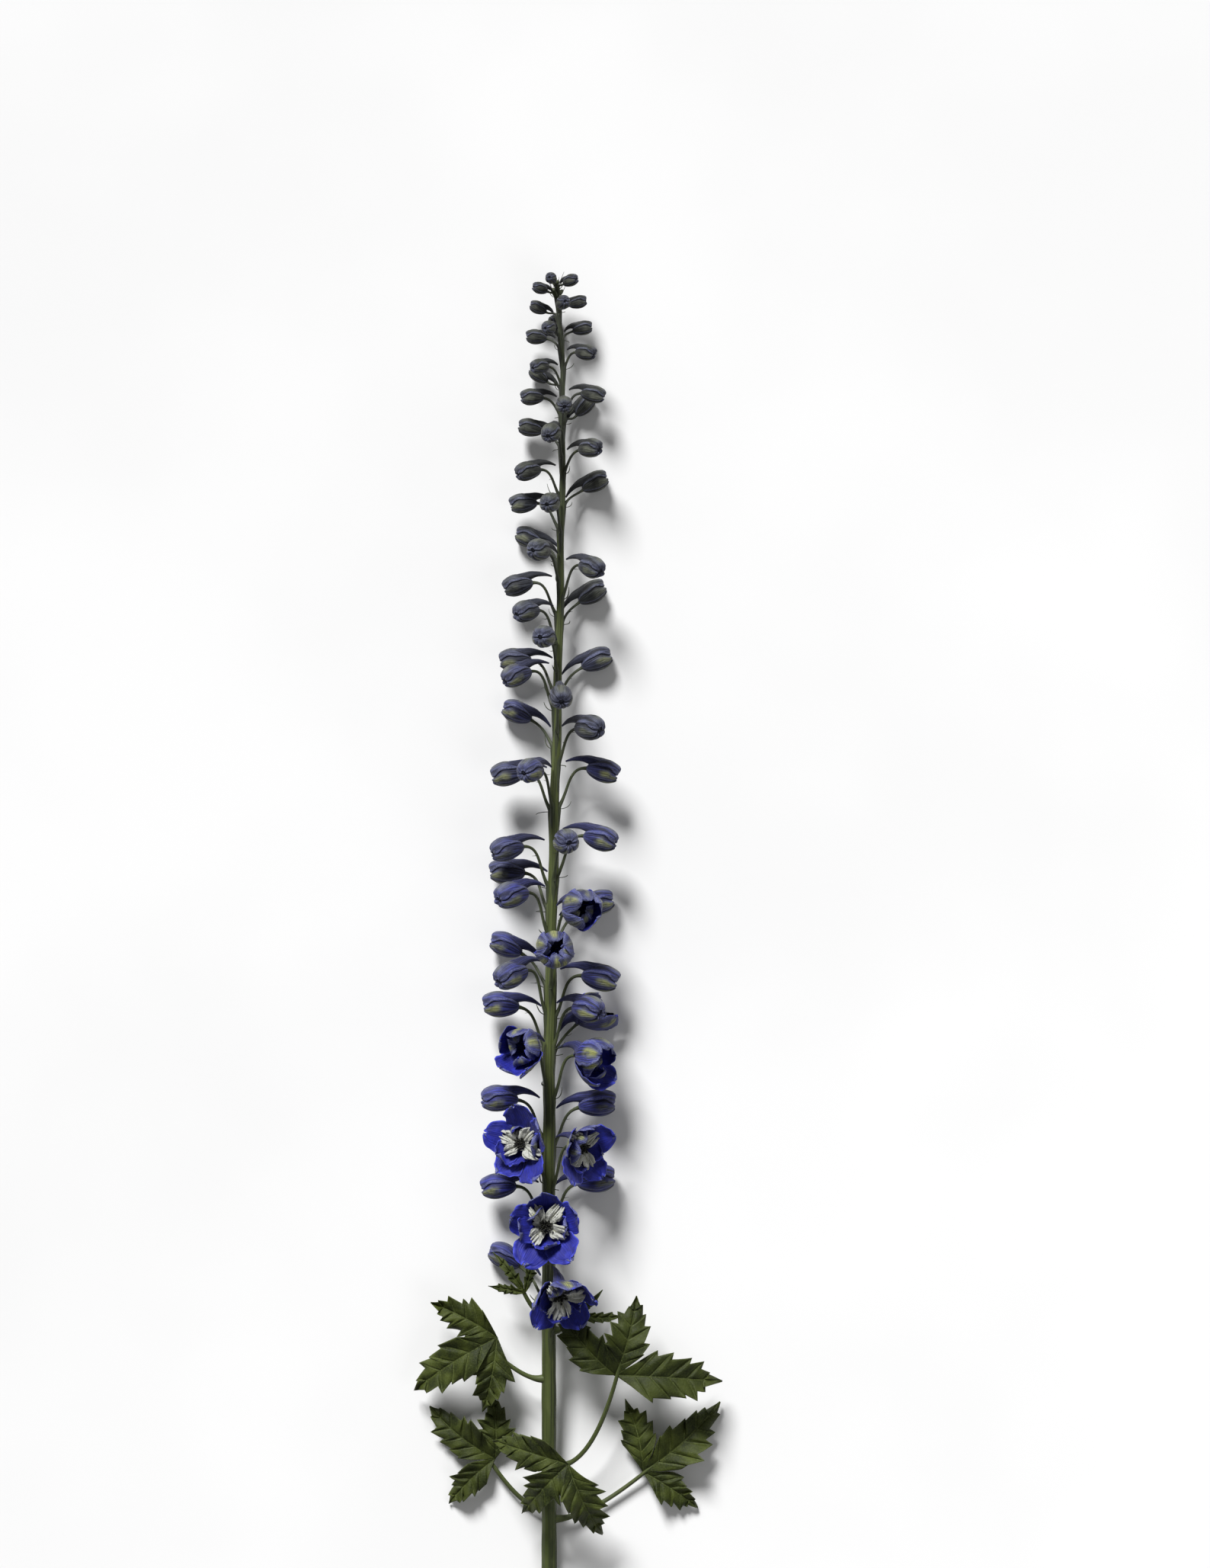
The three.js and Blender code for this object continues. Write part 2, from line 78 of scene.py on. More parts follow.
# ----- where things sit -----
# Closed buds, and the green ones of the tip: [height, turn].
BUDS = [
    [280, 208], [330, 186], [334, 338], [386, 342], [391, 165], [454, 190], [453, 42], [473, 2], [476, 140],
    [494, 205], [523, 338], [530, 142], [545, 202], [561, 158], [566, 78], [568, 14], [614, 118], [612, 176],
    [614, 4], [643, 48], [654, 212], [664, 84], [679, 152], [690, 198], [690, 328], [704, 106], [722, 138],
    [736, 318], [741, 184], [752, 40], [763, 122], [774, 215], [795, 104], [797, 186], [812, 330], [818, 158],
    [833, 36], [843, 110], [849, 196],
]
TIP_BUDS = [
    [862, 88], [865, 312], [869, 168], [871, 8], [886, 212], [889, 140], [899, 24], [911, 190], [915, 118],
    [917, 345], [921, 262], [931, 200], [932, 76], [934, 8], [943, 150], [948, 40], [949, 106],
]
# Opening florets: [height, turn, openness, gape]. Gape is how much further the lower sepals are open than the
# upper one. Open florets: the same, with how many degrees each face nods below straight out.
OPENING = [
    [419, 31, 0.36, 0.2], [428, 120, 0.34, 0.24], [448, 326, 0.34, 0.2], [494, 84, 0.16, 0.08],
    [521, 58, 0.2, 0.12],
]
BLOOMS = [
    [258, 78, 0.7, 0.2, 34], [307, 92, 0.84, 0.12, -4], [358, 46, 0.72, 0.14, 8], [362, 126, 0.88, 0.1, -6],
]
# Leaves: [height, turn, petiole length, its climb in degrees, lobes], and a lobe is [heading, length, width,
# sweep, arch, droop]. Heading is from +X towards the tip, sweep turns its outer half, arch raises its middle
# and droop lowers its tip.
LEAVES = [
    [100, 350, 68, 28, [[-26, 46, 24, -16, 7, 4], [35, 72, 32, 14, 12, 2], [92, 52, 28, 24, 9, 3]]],
    [108, 190, 46, 46, [[84, 44, 24, 18, 8, 2], [150, 58, 30, -16, 10, 4], [214, 46, 24, 22, 8, 4]]],
    [124, 70, 40, 32, [[158, 54, 30, 16, 12, 18], [220, 50, 26, 20, 10, 22], [288, 58, 28, 12, 8, 26]]],
    [138, 22, 78, 56, [[2, 74, 34, -14, 16, 12], [68, 56, 30, 14, 12, 2], [140, 58, 30, -18, 12, 4]]],
    [198, 172, 42, 44, [[142, 52, 26, 22, 10, 4], [204, 70, 34, 20, 14, 14], [266, 54, 28, -14, 8, 8]]],
    [232, 8, 16, 40, [[-50, 24, 8, -12, 3, 2], [-8, 34, 9, 12, 4, 3], [34, 26, 8, 14, 3, 2]]],
    [244, 160, 18, 50, [[80, 27, 8, -14, 3, 3], [122, 36, 9, 14, 4, 4], [164, 26, 8, 12, 3, 3]]],
]


# ----- arithmetic -----
ANY_PHASE = 6.28


def seeded(seed):
    """A small repeatable generator, the same as the solids' own."""
    state = seed

    def draw(low=0, high=1):
        nonlocal state
        state = state * 16807 % 2147483647
        return lerp(low, high, state / 2147483647)

    return draw


def lerp(a, b, t):
    return a + (b - a) * t


def smooth(x, low, high):
    """0 up to low and 1 from high, with a soft rise between."""
    t = np.clip((x - low) / (high - low), 0, 1)
    return t * t * (3 - 2 * t)


def bell(x, middle, width):
    """1 at the middle, and almost 0 two widths away from it."""
    return np.exp(-(((x - middle) / width) ** 2))


def unit(vector):
    return vector / np.linalg.norm(vector)


# ----- the layout, as in the solids -----
SIZE_SPREAD = 0.06  # florets of one height differ in size by up to this share
TURN_SPREAD = 3  # and in turn by this many degrees
HANG_RANGE = [-8, 14]  # how far a floret may face below straight out, in degrees
TIP_RISE = 24  # how much less at the tip
LEVEL_ENOUGH = 0.12  # the surface tilts up the florets that face down by more than this


def stem_radius(height):
    return CUT_RADIUS - (CUT_RADIUS - TIP_RADIUS) * (np.clip(height, 0, STEM_LENGTH) / STEM_LENGTH) ** 1.5


def floret_size(height):
    """Share of full size."""
    return 0.5 + 0.65 * (1 - exp((height - 950) / 190))


def floret_reach(height):
    """How far a floret's middle is from the stem's axis."""
    return 10.5 + 24 * (1 - exp((height - 955) / 150))


def pedicel_rise(height):
    """How far below a floret its pedicel leaves the stem."""
    return 40 * (floret_size(height) - 0.42)


def axis(height):
    """The stem's middle line, at one height or at many."""
    height = np.asarray(height, float)
    sway = SWAY * smooth(height, 350, 880) - SWAY_BACK * smooth(height, 880, 960)
    lift = LYING_LIFT * smooth(height, 20, 300) - TIP_DROP * smooth(height, 560, 950)
    return np.stack([sway, height, CUT_END_LEVEL * CUT_RADIUS + lift], -1)


def outward(turn):
    """Straight out from the stem at a turn."""
    return np.array([cos(radians(turn)), 0, sin(radians(turn))])


def place_floret(height, turn, draw, nod=None):
    """A floret's sizes, its base and its own directions: aside, upper side (where the spur is) and face."""
    size = floret_size(height) * draw(1 - SIZE_SPREAD, 1 + SIZE_SPREAD)
    out = outward(turn + draw(-TURN_SPREAD, TURN_SPREAD))
    if nod is None:
        nod = draw(*HANG_RANGE) - TIP_RISE * smooth(height, 860, 950)
    length, width = BUD_LENGTH * size, BUD_WIDTH * size
    face = out * cos(radians(nod)) - UP_STEM * sin(radians(nod))
    under_tilt = max(0.0, -face[2] - LEVEL_ENOUGH)
    face = unit(face + np.array([0, under_tilt * 1.3, under_tilt]))
    middle = axis(height) + out * floret_reach(height)
    depth = hypot(width / 2 * sqrt(1 - face[2] ** 2), length / 2 * face[2])
    middle[2] = max(middle[2], depth - PRESS)
    lean = -face[1]
    levelled = unit(face + UP_STEM * lean)
    upper = unit(UP_STEM * sqrt(1 - lean**2) + levelled * lean)
    return SimpleNamespace(
        height=height, out=out, size=size, length=length, width=width, face=face,
        base=middle - face * length / 2, basis=np.array([np.cross(upper, face), upper, face]),
    )


def world(floret, points):
    """Points in a floret's own frame (base at 0, Y its upper side, Z its face) as layout points."""
    return floret.base + points @ floret.basis


def from_middle(angle, out, aside, up):
    """Points in a floret's own frame: so far out at an angle, to the side of that, and up."""
    return np.stack([out * cos(angle) - aside * sin(angle),
                     out * sin(angle) + aside * cos(angle), up], -1)


# ----- meshes -----
CUT_END_DEPTH = 5  # how far the slanted cut reaches up the stem
GRAIN_PER_MM = 0.04


def layout_origin():
    """The layout's zero, which is the middle of the cut end, in the frame's metres."""
    points = np.array([v.co for v in frame["nodes"]["stem"].data.vertices])
    end = points[points[:, 1] < points[:, 1].min() + CUT_END_DEPTH * MM]
    middle = (end.min(0) + end.max(0)) / 2
    return np.array([middle[0], middle[1], 0])


ORIGIN = layout_origin()


def link(name, data):
    """A new object in the scene."""
    made = bpy.data.objects.new(name, data)
    bpy.context.scene.collection.objects.link(made)
    return made


class Shape:
    """Vertices, faces and what the materials read at each vertex, gathered from any number of parts.

    marks: along, distance from the middle line, 1 on an inner face. coat: painted shade in seams and hollows,
    green blotch, and paleness that is partly down and partly painted highlight.
    tone: ripeness, a draw for the part. grain: a place for noise that runs along the part.
    """

    def __init__(self):
        self.points, self.faces, self.slots, self.count = [], [], [], 0
        self.fields = {"marks": [], "coat": [], "tone": [], "grain": []}

    def add(self, points, faces, marks, grain, tone, coat, slot=0):
        self.points.append(points)
        self.faces += [tuple(int(i) + self.count for i in face) for face in faces]
        self.slots += [slot] * len(faces)
        for rows, values in zip(self.fields.values(), (marks, coat, tone, grain)):
            rows.append(np.broadcast_to(np.asarray(values, float), points.shape))
        self.count += len(points)

    def piece(self, name, materials, slot, *nodes):
        points = np.concatenate(self.points)
        points[:, 2] = np.maximum(points[:, 2], 0)
        mesh = bpy.data.meshes.new(name)
        mesh.from_pydata((points * MM + ORIGIN).tolist(), [], self.faces)
        mesh.shade_smooth()
        mesh.polygons.foreach_set("material_index", self.slots)
        for label, rows in self.fields.items():
            layer = mesh.attributes.new(label, "FLOAT_VECTOR", "POINT")
            layer.data.foreach_set("vector", np.concatenate(rows).ravel())
        for material in materials:
            mesh.materials.append(material)
        mesh.validate()
        obj = link(name, mesh)
        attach(obj, "root")
        if nodes:
            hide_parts(*nodes)


def grid_faces(rows, columns, start=0, flip=False, wrap=False):
    """The faces between the points of a grid. Wrap joins the last column to the first."""
    faces = []
    last = columns if wrap else columns - 1
    for i in range(rows - 1):
        for j in range(last):
            a, b = start + i * columns + j, start + i * columns + (j + 1) % columns
            face = (a, a + columns, b + columns, b)
            faces.append(face[::-1] if flip else face)
    return faces


def add_blade(shape, surface, places, columns, thickness, floret=None, tone=(1, 0.5, 0), coat=None, number=0):
    """A thin closed blade: surface gives its middle, and coat its coat, by u along it and v across.

    Places are its values of u, v goes from -1 to 1, and its number sets its grain apart from its neighbours'.
    """
    u, v = np.meshgrid(places, np.linspace(-1, 1, columns), indexing="ij")
    middle = surface(u, v)
    normal = np.cross(np.gradient(middle, axis=0), np.gradient(middle, axis=1))
    normal /= np.maximum(np.linalg.norm(normal, axis=-1, keepdims=True), 1e-9)
    half = normal * thickness / 2 * (1 - 0.55 * np.abs(v[..., None]) ** 6)
    points = np.concatenate([middle + half, middle - half]).reshape(-1, 3)
    if floret:
        points = world(floret, points)
    rows, count = len(places), u.size
    faces = grid_faces(rows, columns) + grid_faces(rows, columns, count, flip=True)
    index = np.arange(count).reshape(rows, columns)
    rim = [*index[0], *index[1:, -1], *index[-1, -2::-1], *index[-2:0:-1, 0]]
    faces += [(a, b, b + count, a + count) for a, b in zip(rim, rim[1:] + rim[:1])]
    flat = [u.ravel(), np.abs(v).ravel()]
    marks = np.concatenate([np.stack([*flat, np.full(count, inner)], -1) for inner in (1.0, 0.0)])
    grain = np.tile(np.stack([u.ravel(), v.ravel(), np.full(count, number)], -1), (2, 1))
    coats = np.tile(coat(u, v).reshape(-1, 3), (2, 1)) if coat else (0, 0, 0)
    shape.add(points, faces, marks, grain, tone, coats)


def add_rod(shape, path, radius, sides, tone=(1, 0.5, 0), coat=(0, 0, 0), slot=0, ribs=0.0, rib_count=0):
    """A closed round rod along a list of points, with its radius at each. Ribs are a share of that."""
    path = np.asarray(path, float)
    tangents = np.gradient(path, axis=0)
    tangents /= np.linalg.norm(tangents, axis=1, keepdims=True)
    side = np.cross(tangents[0], SKYWARD if abs(tangents[0][2]) < 0.9 else UP_STEM)
    angles = np.linspace(0, 2 * pi, sides, endpoint=False)
    round_x, round_y = np.cos(angles), np.sin(angles)
    rings = []
    for point, tangent, size in zip(path, tangents, radius):
        side = unit(side - tangent * (side @ tangent))
        reach = size * (1 + ribs * np.cos(rib_count * angles))
        other = np.cross(tangent, side)
        rings.append(point + np.outer(reach * round_x, side) + np.outer(reach * round_y, other))
    n = len(path)
    faces = grid_faces(n, sides, flip=True, wrap=True)
    faces += [tuple(range(sides)), tuple(range((n - 1) * sides, n * sides))[::-1]]
    steps = np.concatenate([[0], np.cumsum(np.linalg.norm(np.diff(path, axis=0), axis=1))])
    grain = np.stack([np.repeat(steps, sides) * GRAIN_PER_MM, np.tile(round_x, n), np.tile(round_y, n)], -1)
    along = np.repeat(np.linspace(0, 1, n), sides)
    marks = np.stack([along, np.full(n * sides, 0.4), np.zeros(n * sides)], -1)
    shape.add(np.concatenate(rings), faces, marks, grain, tone, coat, slot)


def add_barrel(shape, middle, direction, length, width, rings, sides, tone=(1, 0.5, 0)):
    """A small closed barrel, such as an anther or an undeveloped bud."""
    t = np.linspace(0, 1, rings)
    path = middle + np.outer(t - 0.5, unit(direction) * length)
    bulge = np.sqrt(np.clip(1 - (2 * t - 1) ** 2, 0.04, 1))
    add_rod(shape, path, bulge * width / 2, sides, tone)


def curve(points, t):
    """The point at t (0 to 1) on a quadratic or cubic curve, or the points at many."""
    degree = len(points) - 1
    return sum(comb(degree, k) * (1 - t) ** (degree - k) * t**k * p for k, p in enumerate(points))


def bezier(points, count):
    """Evenly stepped points along such a curve."""
    return curve(points, np.linspace(0, 1, count)[:, None])


# ----- materials -----
def ink(code):
    """The linear colour of an sRGB code such as "3c40a0"."""
    parts = [int(code[i:i + 2], 16) / 255 for i in (0, 2, 4)]
    return [p / 12.92 if p <= 0.04045 else ((p + 0.055) / 1.055) ** 2.4 for p in parts] + [1.0]


class Paint:
    """A procedural material, put together node by node."""

    def __init__(self, name, **constants):
        self.material = bpy.data.materials.new(name)
        self.material.use_nodes = True
        self.tree = self.material.node_tree
        self.shader = self.tree.nodes["Principled BSDF"]
        for label, value in constants.items():
            self.shader.inputs[label.replace("_", " ")].default_value = value

    def node(self, kind, inputs, output=0, **settings):
        made = self.tree.nodes.new(kind)
        for label, value in settings.items():
            setattr(made, label, value)
        for key, value in inputs.items():
            if isinstance(value, bpy.types.NodeSocket):
                self.tree.links.new(value, made.inputs[key])
            else:
                made.inputs[key].default_value = value
        return made.outputs[output]

    def field(self, name):
        """The vector that a mesh attribute gives at each point."""
        return self.node("ShaderNodeAttribute", {}, 1, attribute_name=name)

    def numbers(self, name):
        """The three numbers of a mesh attribute."""
        return list(self.node("ShaderNodeSeparateXYZ", {0: self.field(name)}).node.outputs)

    def math(self, operation, a, b=0.0):
        return self.node("ShaderNodeMath", {0: a, 1: b}, operation=operation)

    def times(self, first, *others):
        for other in others:
            first = self.math("MULTIPLY", first, other)
        return first

    def band(self, value, low, high):
        """0 below low and 1 above high, or the other way round where low is the larger."""
        if low > high:
            return self.math("SUBTRACT", 1, self.band(value, high, low))
        return self.node("ShaderNodeMapRange", {0: value, 1: low, 2: high}, interpolation_type="SMOOTHSTEP")

    def mix(self, share, *colours):
        """From one colour to another, each a socket or a code."""
        low, high = (ink(colour) if isinstance(colour, str) else colour for colour in colours)
        return self.node("ShaderNodeMix", {0: share, 6: low, 7: high}, 2, data_type="RGBA")

    def cover(self, colour, *layers):
        """A colour under layers of others, each with shares whose product is how far it covers."""
        for other, *shares in layers:
            colour = self.mix(self.times(*shares), colour, other)
        return colour

    def ramp(self, share, *stops):
        made = self.node("ShaderNodeValToRGB", {0: share})
        elements = made.node.color_ramp.elements
        while len(elements) < len(stops):
            elements.new(0.5)
        for element, (place, code) in zip(elements, stops):
            element.position, element.color = place, ink(code)
        return made

    def noise(self, vector, stretch, scale, detail):
        spread = self.node("ShaderNodeVectorMath", {0: vector, 1: stretch}, operation="MULTIPLY")
        return self.node("ShaderNodeTexNoise", {"Vector": spread, "Scale": scale, "Detail": detail})

    def fibres(self, stretch, detail):
        """Noise drawn out along the part's grain."""
        return self.noise(self.field("grain"), stretch, 1, detail)

    def place(self):
        """The point in the piece's own space, in metres."""
        return self.node("ShaderNodeTexCoord", {}, 3)

    def mottle(self, scale, detail, stretch=(1, 1, 1)):
        """Noise in the piece's own space."""
        return self.noise(self.place(), stretch, scale, detail)

    def finish(self, colour, height, depth, strength):
        """The material, in a colour and with a bumpy surface."""
        self.tree.links.new(colour, self.shader.inputs["Base Color"])
        bump = self.node("ShaderNodeBump", {"Strength": strength, "Distance": depth, "Height": height})
        self.tree.links.new(bump, self.shader.inputs["Normal"])
        return self.material


def sepal_paint():
    """Sepals: downy, veined and blotched with green outside, vivid blue inside, by how ripe the floret is;
    with painted shade and painted highlights.
    """
    paint = Paint("sepal", Roughness=0.6, Sheen_Weight=0.08, Sheen_Roughness=0.5, Specular_IOR_Level=0.3)
    along, aside, inside = paint.numbers("marks")
    seam_shade, blotch, pale = paint.numbers("coat")
    ripe, chance, _ = paint.numbers("tone")
    veins = paint.fibres((1.2, 11, 11), 4)
    streaks = paint.fibres((1.6, 26, 26), 3)
    mottle = paint.mottle(220, 4)
    down = paint.mottle(1400, 2)
    # The two ramps below are the outside colour for each ripeness as it looks lit and in painted shade;
    # veins, streaks and mottle mix them, so the darks are partly streaking and partly painted shade.
    lit = paint.ramp(ripe, (0, "383a33"), (0.25, "494c45"), (0.45, "4e5262"), (0.7, "444989"), (1, "373da0"))
    shaded = paint.ramp(ripe, (0, "0c0d0b"), (0.25, "0f1010"), (0.45, "0e0f1a"), (0.7, "0b0c2a"), (1, "080a38"))
    green = paint.ramp(ripe, (0, "5c5e55"), (0.3, "7b7e6e"), (0.55, "8e9168"), (1, "969a52"))
    patchy = paint.times(blotch, paint.band(mottle, 0.8, 0.4), paint.band(veins, 0.2, 0.5))
    outer = paint.cover(
        paint.mix(paint.band(veins, 0.4, 0.62), shaded, lit),
        (shaded, paint.band(streaks, 0.56, 0.4), 0.5),
        (shaded, paint.band(mottle, 0.4, 0.75), 0.4),
        # A greyish pale broken up by fine noise: partly the down and pale tips of the sepals, partly painted
        # highlight along the ridges of a bud.
        ("8287aa", pale, paint.band(down, 0.2, 0.7), 0.55),
        (green, patchy, paint.band(chance, -0.4, 0.7)),
        # Near-black painted shade in the seams, pits and blotch lines, at a bud's base and at a sepal's foot;
        # a spur is darkened a little all over.
        ("040509", seam_shade),
    )
    # Inside, the near-black towards the foot is painted shade deep in the throat, and the paler rim along the
    # edges and tip is a painted highlight.
    rim = paint.math("MAXIMUM", paint.band(aside, 0.86, 1), paint.band(along, 0.94, 1))
    inner = paint.cover(
        paint.mix(paint.band(along, 0.12, 0.6), "05061e", "171d84"),
        ("0a0d52", paint.band(streaks, 0.6, 0.38), 0.6),
        ("2832b4", paint.band(mottle, 0.45, 0.7), 0.4),
        ("4c56e0", rim, 0.5),
    )
    height = paint.math("ADD", veins, paint.times(paint.math("ADD", mottle, streaks), 0.4))
    return paint.finish(paint.mix(inside, outer, inner), height, 0.0008, 0.85)


def bee_paint():
    """The bee: off-white and streaked, with an olive foot and a yellow-green middle line."""
    paint = Paint("bee", Roughness=0.85, Sheen_Weight=0.3)
    along, aside, _ = paint.numbers("marks")
    streaks = paint.fibres((2, 10, 10), 4)
    mottle = paint.mottle(500, 3)
    colour = paint.cover(
        paint.mix(paint.band(along, 0.05, 0.45), "54553a", "a8a9a2"),
        ("70715a", paint.band(streaks, 0.52, 0.3), 0.5),
        ("bfc0be", paint.band(mottle, 0.5, 0.7), 0.5),
        ("75763e", paint.band(aside, 0.22, 0), paint.band(along, 0.95, 0.5), 0.5),
    )
    return paint.finish(colour, paint.math("ADD", paint.times(streaks, 0.5), mottle), 0.0008, 0.9)


def plain_paint(name, light, dark, scale, **constants):
    """Two close shades of one colour, mottled."""
    paint = Paint(name, **constants)
    mottle = paint.mottle(scale, 3)
    return paint.finish(paint.mix(paint.band(mottle, 0.35, 0.65), dark, light), mottle, 0.0002, 0.5)


def stem_paint():
    """The stem: ribbed green with olive flecks and streaks of painted shade, darker and browner towards the
    tip.
    """
    paint = Paint("stem", Roughness=0.55, Specular_IOR_Level=0.35)
    ripe, _, _ = paint.numbers("tone")
    ribs = paint.fibres((0.25, 3.4, 3.4), 2)
    mottle = paint.mottle(260, 4, (1, 0.3, 1))
    # The two ramps below are the stem's colour as it looks lit and in shade; the rib noise mixes them into
    # streaks, so the dark streaks are partly ribbing and partly painted shade between the ribs.
    light = paint.ramp(ripe, (0, "34362e"), (0.35, "3f4630"), (0.75, "4e572c"), (1, "39431c"))
    dark = paint.ramp(ripe, (0, "111214"), (0.35, "171b12"), (0.75, "1e2410"), (1, "181f0a"))
    colour = paint.cover(paint.mix(paint.band(ribs, 0.2, 0.6), dark, light),
                         ("5c633a", paint.band(mottle, 0.5, 0.75), 0.3))
    return paint.finish(colour, paint.math("ADD", ribs, paint.times(mottle, 0.25)), 0.0007, 0.6)


def leaf_paint():
    """Leaves: pale veins from a pale midrib to each tooth, a fine net between them, and a paler margin.

    On a leaf, coat is (which vein or space between veins, distance from the midrib in mm, 1 at the margin).
    """
    paint = Paint("leaf", Roughness=0.6, Specular_IOR_Level=0.2)
    _, aside, inside = paint.numbers("marks")
    count, distance, margin = paint.numbers("coat")
    _, chance, _ = paint.numbers("tone")
    mottle = paint.mottle(90, 4)
    fine = paint.mottle(900, 3)
    cells = {"Vector": paint.place(), "Scale": 520}
    to_cell_edge = paint.node("ShaderNodeTexVoronoi", cells, feature="DISTANCE_TO_EDGE")
    net = paint.times(paint.band(to_cell_edge, 0.14, 0), 0.15)
    to_vein = paint.math("ABSOLUTE", paint.math("SUBTRACT", paint.math("FLOORED_MODULO", count, 2), 1))
    side_veins = paint.times(paint.band(to_vein, 0.22, 0.04), paint.band(aside, 1, 0.75))
    veins = paint.math("MAXIMUM", side_veins, paint.band(distance, 0.9, 0.35))
    upper_side = paint.cover(
        paint.mix(paint.band(mottle, 0.3, 0.7), "1b2207", "3e4618"),
        ("545c2c", paint.band(fine, 0.45, 0.8), 0.35),
        ("4c5628", net),
        ("5a6336", veins, paint.band(fine, 0.2, 0.7), 0.5),
        ("626b40", margin, 0.4),
        ("161c06", paint.band(chance, 0.3, 1), 0.3),
    )
    height = paint.math("SUBTRACT", paint.times(fine, 0.3), paint.math("ADD", veins, net))
    return paint.finish(paint.mix(inside, "3c4624", upper_side), height, 0.0007, 0.7)


SEPAL = sepal_paint()
BEE = bee_paint()
STAMEN = plain_paint("stamen", "2c2c22", "040407", 900, Roughness=0.6)
STEM = stem_paint()
LEAF = leaf_paint()


# ----- florets -----
RIPENESS_SPREAD = 0.12  # buds of one height differ by up to this much


def ripeness(height):
    """0 for the green buds of the tip, rising to 1 for the blue ones low down."""
    return float(np.interp(height, [380, 500, 620, 740, 850, 950], [0.92, 0.74, 0.58, 0.38, 0.2, 0.04]))


# The seams of a closed bud in degrees round it, and how each moves as the hood widens towards the outer end.
# The hood lies between the first two, over the sepals at its sides, and those lie over the two below.
SEAMS = [20, 160, 232, 270, 308, 380]
SEAM_SPREAD = [-1, 1, 0.4, 0, -0.4, -1]
# For each sepal: its columns, and whether its first and its last edge slip under a neighbour.
BUD_SEPALS = [(26, False, False), (17, True, False), (12, True, False), (12, True, True), (17, False, True)]
SEPAL_GREEN = [0.4, 1, 0.8, 0.8, 1]
BUD_ROWS = 30
BLUNTNESS = 0.75  # 1 would make a bud an egg
BUD_SAG = 0.12  # how far its outer end hangs, as a share of its width


def bud_columns(share, girth, draw):
    """Each point's turn, place across its sepal, dip under the neighbour, painted shade of the seams, pale
    band of painted highlight and sepal.

    Distances from where two sepals meet are along the surface, in half widths of the bud.
    """
    spread = 26 * smooth(share, 0.62, 1) - 16 * (1 - smooth(share, 0, 0.45))
    twist = draw(-14, 14) * (share - 0.5) + 2.5 * np.sin(5 * share + draw(0, ANY_PHASE))
    seam_turns = [turn + spread * move + twist for turn, move in zip(SEAMS, SEAM_SPREAD)]
    sepals = []
    for k, (count, *unders) in enumerate(BUD_SEPALS):
        start, end = seam_turns[k:k + 2]
        across = 0.5 - 0.5 * np.cos(pi * (np.arange(count) + 0.5) / count) + 0 * share
        dip, seam_shade, pale = (np.zeros(across.shape) for _ in range(3))
        for from_edge, under in zip((across, 1 - across), unders):
            distance = from_edge * np.radians(end - start) * girth
            # An edge that slips under its neighbour dips, and a broad band of painted shade darkens the
            # crease; one that lies over its neighbour gets a thin dark line of painted shade and, just in
            # from it, a pale band of painted highlight on the ridge.
            if under:
                dip += 0.15 * np.exp(-distance / 0.2)
                seam_shade += np.exp(-distance / (0.095 * girth + 0.002))
            else:
                dip += 0.04 * np.exp(-distance / 0.07)
                seam_shade += 0.4 * np.exp(-distance / 0.03)
                pale += bell(distance, 0.13, 0.1)
        sepals.append([lerp(start, end, across), across, dip, seam_shade, pale, np.full(across.shape, k)])
    return [np.concatenate(columns, axis=1) for columns in zip(*sepals)]


def barrel_faces(rows, columns):
    """The faces of a round grid that two more points close, one at each pole."""
    faces = grid_faces(rows, columns, flip=True, wrap=True)
    low, high, last = rows * columns, rows * columns + 1, (rows - 1) * columns
    for j in range(columns):
        k = (j + 1) % columns
        faces += [(low, j, k), (high, last + k, last + j)]
    return faces


def with_poles(grid, low, high):
    """What a grid holds in one list, and then what its two poles have."""
    return np.concatenate([np.stack(grid, -1).reshape(-1, 3), [low, high]])


